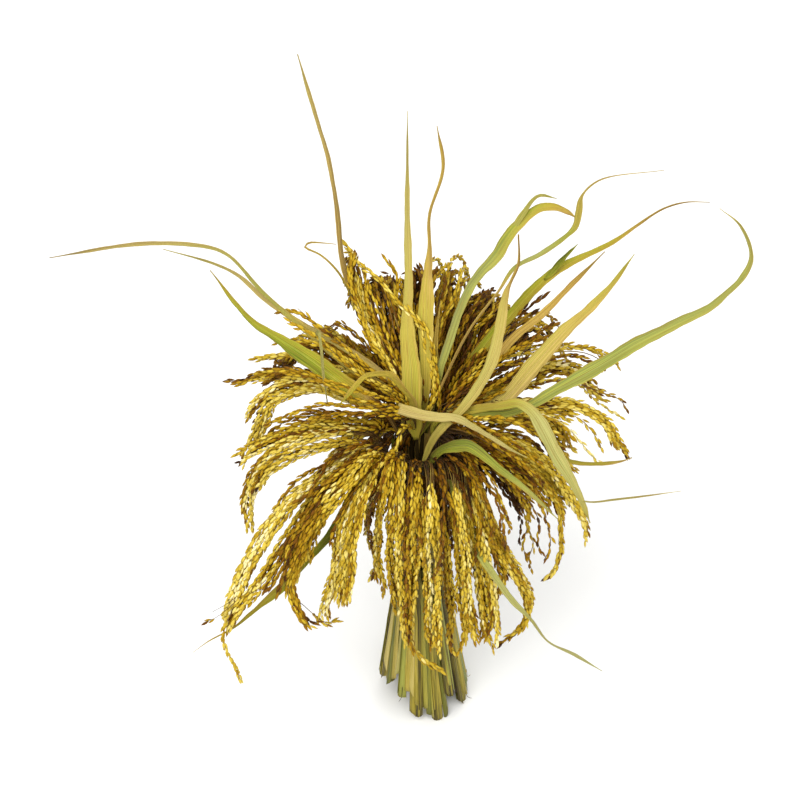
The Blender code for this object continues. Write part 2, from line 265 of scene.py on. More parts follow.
def tube(line: Line, rows: int, sides: int, radius: Callable[[float], float], shade: float = 0.5) -> Shape:
    """A closed tube along a line.

    Args:
        line: The line through its middle.
        rows: Faces along it.
        sides: Faces round it.
        radius: Gives its radius, in millimetres, a share of the way along.
        shade: The shade of all of it.

    Returns:
        The tube, in metres.
    """
    # A direction that no line here runs along, to hang the tube's sides from
    seat = Vector((0.31, 0.17, 0.93))

    @lru_cache(maxsize=4)
    def section(along: float) -> tuple[Vector, Vector, Vector]:
        """The tube's middle and the two directions across it.

        Args:
            along: From 0 to 1.

        Returns:
            The middle and the two directions.
        """
        middle, ahead = line.at(along)
        side = ahead.cross(seat).normalized()
        return middle, side, side.cross(ahead)

    def place(across: float, along: float) -> Vector:
        """A place on the tube's wall.

        Args:
            across: From -1 to 1.
            along: From 0 to 1.

        Returns:
            The place.
        """
        middle, side, face = section(along)
        angle = math.pi * across
        return middle + (side * math.cos(angle) + face * math.sin(angle)) * radius(along)

    shape = bent_sheet(sides, rows, place, lambda across, along: shade)
    close_tube(shape)
    return shape


def finished_mesh(name: str, shapes: Sequence[Shape], seed: float = 0.0) -> Mesh:
    """One smooth mesh of several shapes, each of which is used up.

    Args:
        name: The mesh's name.
        shapes: The shapes.
        seed: Where the streaks of its finish start, so that no two pieces have the same ones.

    Returns:
        The mesh.
    """
    whole = bmesh.new()
    for shape in shapes:
        scratch = bpy.data.meshes.new("scratch")
        shape.to_mesh(scratch)
        shape.free()
        whole.from_mesh(scratch)
        bpy.data.meshes.remove(scratch)
    mesh = bpy.data.meshes.new(name)
    whole.to_mesh(mesh)
    whole.free()
    mesh.shade_smooth()
    mesh.attributes.new("seed", "FLOAT", "POINT").data.foreach_set("value", [seed] * len(mesh.vertices))
    return mesh


def put(name: str, data: bpy.types.ID) -> Object:
    """Puts an object of a mesh, a light or a camera into the scene.

    Args:
        name: The object's name.
        data: What it shows.

    Returns:
        The object.
    """
    placed = bpy.data.objects.new(name, data)
    bpy.context.scene.collection.objects.link(placed)
    return placed


# ---- finishes


def linear(colour: str) -> tuple[float, float, float, float]:
    """An sRGB hex colour as linear red, green, blue and alpha."""
    parts = [int(colour[i : i + 2], 16) / 255 for i in (1, 3, 5)]
    return (*[part / 12.92 if part <= 0.04045 else ((part + 0.055) / 1.055) ** 2.4 for part in parts], 1.0)


def add_node(
    tree: Tree,
    kind: str,
    inputs: dict[Any, Any] | None = None,
    output: int | str = 0,
    stops: Tones = (),
    **settings: Any,
) -> Socket:
    """Adds a shader node.

    Args:
        tree: The material's node tree.
        kind: The node's type, without its ShaderNode prefix.
        inputs: What goes into each input, by its name or number: a value, or another node's output.
        output: The name or number of the output that is wanted.
        stops: A colour ramp's places and hex colours.
        settings: The node's own settings, by name.

    Returns:
        That output.
    """
    node = tree.nodes.new("ShaderNode" + kind)
    for name, value in settings.items():
        setattr(node, name, value)
    while len(stops) > 2 and len(node.color_ramp.elements) < len(stops):
        node.color_ramp.elements.new(0.5)
    for rank, (place, colour) in enumerate(stops):
        node.color_ramp.elements[rank].position = place
        node.color_ramp.elements[rank].color = linear(colour)
    for name, value in (inputs or {}).items():
        if isinstance(value, Socket):
            tree.links.new(value, node.inputs[name])
        else:
            node.inputs[name].default_value = value
    return node.outputs[output]


class Blend(Enum):
    """How a layer of colour lies on what is below it."""

    OVER = "MIX"
    TINT = "MULTIPLY"


@dataclass(frozen=True)
class Layer:
    """A layer of colour: the pattern that it follows, its hex colour, the pattern's low and high end with how
    much of the layer shows at each, or none where the pattern says it itself, and how it lies."""

    pattern: Socket
    colour: str
    span: tuple[float, float, float, float] | None = None
    blend: Blend = Blend.OVER


@dataclass(frozen=True)
class Finish:
    """What every finish has: its name, roughness and gloss, its tones from dark to pale, and its nodes."""

    name: str
    roughness: float = 0.6
    specular: float = 0.4
    tones: Tones = ()

    def make(self) -> bpy.types.Material:
        """The finish's material, made the first time that it is asked for.

        Returns:
            The material.
        """
        made = bpy.data.materials.get(self.name)
        if made:
            return made
        made = bpy.data.materials.new(self.name)
        made.use_nodes = True
        shader = made.node_tree.nodes["Principled BSDF"]
        shader.inputs["Roughness"].default_value = self.roughness
        shader.inputs["Specular IOR Level"].default_value = self.specular
        self.wire(made.node_tree, shader)
        return made

    def wire(self, tree: Tree, shader: Node) -> None:
        """Adds the finish's own nodes."""
        raise NotImplementedError

    def surface(self, tree: Tree, shader: Node, colour: Socket, height: Socket, depth_mm: float) -> None:
        """Gives the shader its colour, and a relief as high as a height from 0 to 1 times a depth.

        Args:
            tree: The material's node tree.
            shader: Its shader node.
            colour: The colour.
            height: The relief's height.
            depth_mm: How deep it is.
        """
        inputs = {"Strength": 1.0, "Distance": depth_mm * MM, "Height": height}
        tree.links.new(add_node(tree, "Bump", inputs), shader.inputs["Normal"])
        tree.links.new(colour, shader.inputs["Base Color"])

    def toned(self, tree: Tree, noise: Socket | None = None, reach: float = 0.0) -> Socket:
        """The tone that a piece's shade picks.

        Args:
            tree: The material's node tree.
            noise: Noise that moves the shade up and down, if any does.
            reach: How far it moves it.

        Returns:
            The colour.
        """
        shade = add_node(tree, "Attribute", output="Fac", attribute_name="shade")
        if noise is not None:
            ends = dict(enumerate((noise, 0.3, 0.7, -reach, reach)))
            drift = add_node(tree, "MapRange", ends, interpolation_type="SMOOTHSTEP")
            shade = add_node(tree, "Math", {0: shade, 1: drift}, operation="ADD")
        return add_node(tree, "ValToRGB", {0: shade}, stops=self.tones)

    def layered(self, tree: Tree, colour: Socket, layers: Sequence[Layer]) -> Socket:
        """A colour with layers laid over it, one after the other.

        Args:
            tree: The material's node tree.
            colour: The colour below them.
            layers: The layers, from the lowest.

        Returns:
            The colour.
        """
        for layer in layers:
            share = layer.pattern
            if layer.span:
                ends = dict(enumerate((share, *layer.span)))
                share = add_node(tree, "MapRange", ends, interpolation_type="SMOOTHSTEP")
            inputs = {0: share, 6: colour, 7: linear(layer.colour)}
            colour = add_node(tree, "Mix", inputs, 2, data_type="RGBA", blend_type=layer.blend.value)
        return colour

    def on_map(self, tree: Tree, axis: str) -> Socket:
        """How far across (X) or along (Y) a piece's UV map a place is."""
        return add_node(tree, "SeparateXYZ", {0: add_node(tree, "TexCoord", output="UV")}, axis)

    def mottle(self, tree: Tree, per_metre: float, detail: float) -> Socket:
        """Noise that changes this often in a metre."""
        place = add_node(tree, "TexCoord", output="Object")
        return add_node(tree, "TexNoise", {"Vector": place, "Scale": per_metre, "Detail": detail})

    def streaks(self, tree: Tree, across: float, along: float) -> Socket:
        """Noise drawn out along a piece's UV map, so that it runs with the fibres.

        Args:
            tree: The material's node tree.
            across: How often it changes across the piece.
            along: How often it changes along the piece.

        Returns:
            The noise, around 0.5.
        """
        seed = add_node(tree, "Attribute", output="Fac", attribute_name="seed")
        start = add_node(tree, "CombineXYZ", {0: seed, 1: seed})
        on_map = add_node(tree, "TexCoord", output="UV")
        moved = add_node(tree, "VectorMath", {0: on_map, 1: start}, operation="ADD")
        scaled = add_node(tree, "VectorMath", {0: moved, 1: (across, along, 1.0)}, operation="MULTIPLY")
        inputs = {"Vector": scaled, "Scale": 1.0, "Detail": 3.0, "Roughness": 0.6}
        return add_node(tree, "TexNoise", inputs, noise_dimensions="2D")

    def ribs(self, tree: Tree, count: float) -> Socket:
        """Ridges that run along a piece, this many across its UV map, from 0 to 1.

        Args:
            tree: The material's node tree.
            count: How many there are.

        Returns:
            Their height.
        """
        turned = add_node(tree, "Math", {0: self.on_map(tree, "X"), 1: count * TURN}, operation="MULTIPLY")
        wave = add_node(tree, "Math", {0: turned}, operation="SINE")
        return add_node(tree, "Math", {0: wave, 1: 0.5, 2: 0.5}, operation="MULTIPLY_ADD")


@dataclass(frozen=True)
class HuskFinish(Finish):
    """Ripe paddy husk: a dry, ribbed, slightly glossy shell, golden with a browner tip and a greener foot.

    Each half of the husk has five nerves, which gives ten ridges round a grain.
    """

    # The darkest stops are deep saturated browns for the painted shade of grain in shadow
    tones: Tones = (
        (0.0, "#3A1E00"), (0.2, "#6E4502"), (0.4, "#A07C0C"),
        (0.6, "#C1A42C"), (0.8, "#D8C258"), (1.0, "#EEE2AA"),
    )
    nerves: float = 10.0

    def wire(self, tree: Tree, shader: Node) -> None:
        """Colours each grain by its own tone, and along its length.

        Args:
            tree: The material's node tree.
            shader: Its shader node.
        """
        along = self.on_map(tree, "Y")
        tip = Layer(along, "#86631C", (0.72, 1.0, 0.0, 0.4))
        foot = Layer(along, "#8C8430", (0.0, 0.25, 0.5, 0.0))
        colour = self.layered(tree, self.toned(tree), (tip, foot))
        self.surface(tree, shader, colour, self.ribs(tree, self.nerves), 0.08)


@dataclass(frozen=True)
class BranchFinish(Finish):
    """The ear's own stalks: smooth and thin, from brown where they are old to straw, in patches of 17 mm."""

    tones: Tones = ((0.0, "#3E260A"), (0.3, "#6E4E18"), (0.6, "#A08838"), (1.0, "#C6B45E"))

    def wire(self, tree: Tree, shader: Node) -> None:
        """Colours each branch by its shade."""
        noise = self.mottle(tree, 60.0, 2.0)
        self.surface(tree, shader, self.toned(tree, noise, 0.15), noise, 0.1)


@dataclass(frozen=True)
class BladeFinish(Finish):
    """A ripening rice leaf: a dry papery blade with parallel veins and a paler midrib, from green to brown.

    Veins are 1.1 mm apart, which is 12 across a blade of 13 mm.
    """

    tones: Tones = (
        (0.0, "#3E4C0C"), (0.14, "#6E7C1E"), (0.3, "#A0A62E"), (0.47, "#B0A134"), (0.62, "#BCA43E"),
        (0.76, "#CCAC58"), (0.9, "#946F34"), (1.0, "#503616"),
    )
    veins: float = 12.0
    # The midrib's edges, as shares of the blade's width off its middle
    midrib: tuple[float, float] = (0.012, 0.05)

    def wire(self, tree: Tree, shader: Node) -> None:
        """Colours the blade by its ripeness, with veins, a midrib, dry edges, creases and freckles.

        Args:
            tree: The material's node tree.
            shader: Its shader node.
        """
        centred = add_node(tree, "Math", {0: self.on_map(tree, "X"), 1: 0.5}, operation="SUBTRACT")
        off_middle = add_node(tree, "Math", {0: centred}, operation="ABSOLUTE")
        ends = dict(enumerate((off_middle, *self.midrib, 1.0, 0.0)))
        midrib = add_node(tree, "MapRange", ends, interpolation_type="SMOOTHSTEP")
        veins = self.ribs(tree, self.veins)
        layers = (
            Layer(add_node(tree, "Attribute", output="Fac", attribute_name="bloom"), "#B9B983"),
            Layer(veins, "#A08A4A", (0.0, 1.0, 0.0, 0.3), Blend.TINT),
            Layer(midrib, "#C8BC7A", (0.0, 1.0, 0.0, 0.12)),
            Layer(off_middle, "#B89A4E", (0.4, 0.5, 0.0, 0.35)),
            Layer(self.streaks(tree, 34.0, 1.3), "#7E6A26", (0.5, 0.68, 0.0, 0.7)),
            Layer(self.streaks(tree, 26.0, 9.0), "#8A6630", (0.58, 0.7, 0.0, 0.6)),
        )
        colour = self.layered(tree, self.toned(tree, self.streaks(tree, 13.0, 2.6), 0.12), layers)
        relief = add_node(tree, "Math", {0: midrib, 1: 1.2, 2: veins}, operation="MULTIPLY_ADD")
        self.surface(tree, shader, colour, relief, 0.14)


@dataclass(frozen=True)
class StemFinish(Finish):
    """A rice stem in its leaf sheath: ribbed and satin, green-olive to straw, with pale and dark streaks.

    Ribs are about 1 mm apart, which is 14 across a strip of sheath.
    """

    # The darkest stop is reached by the painted shade at the stem tops
    tones: Tones = (
        (0.0, "#38290A"), (0.18, "#766B17"), (0.38, "#A8972C"), (0.58, "#C6AF3E"), (0.76, "#D6BF5A"),
        (1.0, "#E4D180"),
    )
    ribs_across: float = 14.0

    def wire(self, tree: Tree, shader: Node) -> None:
        """Colours the stem by its shade, with streaks along it.

        Args:
            tree: The material's node tree.
            shader: Its shader node.
        """
        ribs = self.ribs(tree, self.ribs_across)
        layers = (
            Layer(add_node(tree, "Attribute", output="Fac", attribute_name="bloom"), "#9CA544"),
            Layer(ribs, "#6E6A30", (0.0, 1.0, 0.45, 0.0), Blend.TINT),
            Layer(self.streaks(tree, 26.0, 1.6), "#544A18", (0.52, 0.68, 0.0, 0.6)),
        )
        colour = self.layered(tree, self.toned(tree, self.streaks(tree, 14.0, 3.0), 0.22), layers)
        self.surface(tree, shader, colour, ribs, 0.18)


@dataclass(frozen=True)
class PithFinish(Finish):
    """The cut end of a stem: pale dry pith, mottled every 1.4 mm."""

    tones: Tones = ((0.3, "#B4A464"), (0.6, "#DDD0A0"), (0.8, "#EFE6C4"))

    def wire(self, tree: Tree, shader: Node) -> None:
        """Mottles the cut face."""
        noise = self.mottle(tree, 700.0, 4.0)
        self.surface(tree, shader, add_node(tree, "ValToRGB", {0: noise}, stops=self.tones), noise, 0.2)


@dataclass(frozen=True)
class StrawFinish(Finish):
    """Twisted rice straw: flat dry fibres, pale gold with grey and brown ones among them."""

    tones: Tones = ((0.25, "#7C6430"), (0.42, "#B3975A"), (0.58, "#CFB77C"), (0.75, "#E3D3A0"))

    def wire(self, tree: Tree, shader: Node) -> None:
        """Colours the straw fibre by fibre."""
        fibre = self.streaks(tree, 9.0, 14.0)
        self.surface(tree, shader, add_node(tree, "ValToRGB", {0: fibre}, stops=self.tones), fibre, 0.25)


@dataclass(frozen=True)
class FloorFinish(Finish):
    """A plain pale matt floor."""

    def wire(self, tree: Tree, shader: Node) -> None:
        """Gives the floor its one pale colour."""
        shader.inputs["Base Color"].default_value = linear("#F4F4F2")


HUSK = HuskFinish("ripe rice husk", roughness=0.6, specular=0.12)
BRANCH = BranchFinish("dry ear branch", roughness=0.55)
BLADE = BladeFinish("papery rice blade", roughness=0.7, specular=0.12)
STEM = StemFinish("sheathed rice stem", roughness=0.55, specular=0.3)
PITH = PithFinish("cut rice pith", roughness=0.85, specular=0.2)
STRAW = StrawFinish("twisted rice straw", roughness=0.65, specular=0.3)
FLOOR = FloorFinish("matt pale floor", roughness=0.9, specular=0.1)


def add_piece(
    name: str, mesh: Mesh, finishes: Sequence[Finish], slot: str, replaced: Sequence[str]
) -> Object:
    """Puts a finished mesh into the scene as a piece of the bunch.

    Args:
        name: The piece's name.
        mesh: Its mesh, in metres, in place.
        finishes: One finish for each of the mesh's material slots.
        slot: The name of the material slot for the piece; not used.
        replaced: The solids that it stands for.

    Returns:
        The piece.
    """
    for finish in finishes:
        mesh.materials.append(finish.make())
    piece = put(name, mesh)
    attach(piece, BODY)
    if replaced:
        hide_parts(*replaced)
    LOG.info("%s: %d faces", name, len(mesh.polygons))
    return piece


# ---- how the bunch is laid out


@dataclass(frozen=True)
class Ring:
    """How far out a ring of stalks stands at the foot, waist and neck, and how tall they are."""

    foot: float
    waist: float
    neck: float
    top: float


class Row(Enum):
    """The bunch's rings of stalks."""

    CENTRE = Ring(foot=0.0, waist=0.0, neck=3.0, top=314.0)
    INNER = Ring(foot=19.5, waist=6.8, neck=15.0, top=310.0)
    OUTER = Ring(foot=38.0, waist=13.3, neck=29.0, top=300.0)


@dataclass(frozen=True)
class EarPlan:
    """An ear: its ring, its azimuth where it starts, where it bends over, its tip, its half width, and how
    ripe its grain is, from 0, brown, to 1, pale. A crest is a distance out and a height, and a tip an
    azimuth, a distance out and a height. Its long branches spread to these shares of its half width."""

    row: Row
    start: float
    crest: tuple[float, float]
    tip: Triple
    half_width: float
    ripe: float
    branches: int = 14
    sides: tuple[float, float] = (-1.0, 1.0)


# The low ripeness of the ears at the back, at azimuths from 130 round to -172, is partly painted shade
EARS = (
    EarPlan(Row.CENTRE, -98, (96, 338), (-96, 146, 248), 13, 0.60, 0),
    EarPlan(Row.INNER, -148, (112, 402), (-144, 158, 394), 15, 0.54, 0),
    EarPlan(Row.INNER, -118, (110, 354), (-111, 166, 304), 14, 0.57, 0),
    EarPlan(Row.INNER, 50, (64, 340), (50, 108, 150), 13, 0.60, 0),
    EarPlan(Row.INNER, 72, (84, 342), (75, 142, 222), 13, 0.55, 0),
    EarPlan(Row.INNER, 91, (106, 350), (90, 175, 277), 13, 0.58, 0),
    EarPlan(Row.INNER, 110, (110, 366), (107, 178, 300), 13, 0.55, 3, (-0.4, 1.0)),
    EarPlan(Row.INNER, 168, (96, 396), (166, 146, 310), 15, 0.46, 9),
    EarPlan(Row.OUTER, -172, (92, 380), (-175, 136, 290), 14, 0.46),
    EarPlan(Row.OUTER, -138, (100, 356), (-130, 150, 306), 13, 0.54, 4, (-1.0, 1.0)),
    EarPlan(Row.OUTER, -86, (78, 318), (-87, 138, 212), 14, 0.60, 0),
    EarPlan(Row.OUTER, -62, (66, 320), (-54, 194, 176), 15, 0.62, 0),
    EarPlan(Row.OUTER, -38, (56, 320), (-36, 122, 178), 16, 0.60, 0),
    EarPlan(Row.OUTER, -14, (50, 318), (-13, 80, 178), 13, 0.55, 0),
    EarPlan(Row.OUTER, 6, (50, 318), (6, 86, 136), 14, 0.56, 0),
    EarPlan(Row.OUTER, 25, (52, 318), (24, 95, 150), 13, 0.58, 0),
    EarPlan(Row.OUTER, 43, (54, 320), (40, 106, 152), 12, 0.60, 0),
    EarPlan(Row.OUTER, 64, (60, 322), (64, 126, 208), 12, 0.58, 0),
    EarPlan(Row.OUTER, 83, (58, 318), (84, 100, 160), 10, 0.48, 0),
    EarPlan(Row.OUTER, 102, (74, 330), (102, 147, 238), 12, 0.58, 0),
    EarPlan(Row.OUTER, 130, (104, 364), (130, 160, 300), 14, 0.46, 8, (-0.6, 1.0)),
    EarPlan(Row.OUTER, 152, (98, 370), (149, 148, 292), 14, 0.42, 8),
)


@dataclass(frozen=True)
class Stray:
    """A branch that strays from its ear: the ear's place in the list, how much paler its grain is than the
    ear's, and the places that it passes as the eye sees them."""

    ear: int
    tone: float
    places: tuple[Triple, ...]


STRAYS = (
    # Curled and ragged ends at the bunch's outline
    Stray(11, 0, ((-153, -150, -108), (-159, -162, -112), (-158, -176, -112), (-151, -190, -110),
        (-145, -204, -108))),
    Stray(11, -0.1, ((-148, -138, -102), (-156, -146, -106), (-164, -152, -108), (-173, -156, -108))),
    Stray(11, -0.15, ((-146, -134, -100), (-157, -142, -105), (-168, -148, -106))),
    Stray(12, -0.1, ((-106, -134, -88), (-96, -141, -88), (-86, -150, -86), (-77, -157, -84),
        (-67, -155, -82))),
    # Ears that lie over the feet of the back leaves
    Stray(1, 0.12, ((12, 26, 6), (10, 50, 16), (6, 62, 22), (1, 81, 30), (-14, 99, 38), (-33, 121, 52),
        (-48, 134, 66), (-62, 151, 82))),
    Stray(1, 0, ((16, 24, 6), (14, 44, 12), (11, 64, 20), (6, 79, 28), (-8, 97, 36))),
    Stray(1, 0.1, ((-8, 24, 4), (-16, 37, 8), (-21, 47, 14), (-30, 62, 22), (-39, 75, 30), (-46, 90, 42),
        (-50, 106, 54), (-51, 118, 62))),
    Stray(1, -0.1, ((-6, 30, 8), (-13, 44, 14), (-22, 62, 22), (-34, 84, 36), (-42, 102, 50), (-43, 116, 60),
        (-45, 128, 68))),
    Stray(1, -0.1, ((3, 36, 14), (-6, 64, 26), (-14, 86, 38), (-19, 104, 48), (-18, 122, 56),
        (-27, 138, 60))),
    Stray(7, 0.1, ((10, 24, 6), (11, 44, 14), (10, 62, 22), (9, 84, 34), (4, 100, 44))),
    Stray(13, 0.1, ((-14, 0, -22), (-19, -16, -32), (-24, -32, -44), (-34, -50, -54))),
    # Ears that lie over the feet of the left leaves
    Stray(9, -0.06, ((-16, 22, 0), (-44, 41, -6), (-64, 57, -6), (-84, 75, 0), (-104, 86, 8))),
    Stray(9, -0.12, ((-14, 28, 2), (-42, 50, -2), (-60, 66, 2), (-80, 82, 10), (-98, 94, 20),
        (-112, 96, 30))),
    Stray(9, 0, ((-14, 25, 0), (-36, 38, -6), (-56, 54, -4), (-76, 66, -2), (-96, 72, 4), (-116, 70, 14))),
    Stray(2, -0.14, ((-10, 18, -4), (-34, 27, -16), (-54, 33, -18), (-76, 40, -14), (-100, 48, -6),
        (-118, 48, 0))),
    Stray(2, -0.18, ((-8, 14, -8), (-30, 20, -18), (-52, 24, -22), (-70, 34, -18), (-90, 42, -10),
        (-112, 47, -2))),
    Stray(0, -0.22, ((-6, 12, -8), (-28, 16, -18), (-50, 18, -22), (-76, 20, -20), (-100, 14, -12),
        (-124, 4, -6))),
    Stray(0, -0.25, ((-6, 8, -10), (-24, 11, -20), (-44, 13, -24), (-66, 12, -24), (-90, 8, -18))),
    # And over the feet of the right ones
    Stray(21, -0.36, ((64, 66, 28), (73, 82, 36), (82, 94, 40), (92, 102, 44), (102, 109, 46))),
    Stray(21, -0.3, ((66, 68, 30), (75, 79, 37), (85, 90, 41), (96, 96, 45))),
    Stray(20, -0.2, ((74, 46, 10), (86, 66, 22), (98, 79, 32), (109, 84, 40), (118, 82, 44))),
    Stray(6, -0.15, ((16, 18, 0), (32, 26, 0), (52, 44, 8), (70, 60, 18), (92, 72, 28), (112, 76, 36))),
    Stray(6, -0.2, ((18, 14, -4), (36, 20, -6), (58, 34, 0), (82, 50, 10), (104, 58, 20))),
    Stray(4, -0.1, ((24, 2, -18), (44, 8, -28), (70, 8, -38), (94, -4, -44), (116, -24, -50))),
)


@dataclass(frozen=True)
class Lock:
    """Branches of an ear that hang together: the ear's place in the list, how many they are, how far to each
    side they spread near the lock's start and at its end, how much paler their grain is than the ear's, how
    much of each is bare, where the lock's middle runs as the eye sees it, right of the neck and above it,
    and how many times wider apart its grain is."""

    ear: int
    count: int
    near: float
    far: float
    tone: float
    bare: float
    places: tuple[tuple[float, float], ...]
    sparse: float = 1.0


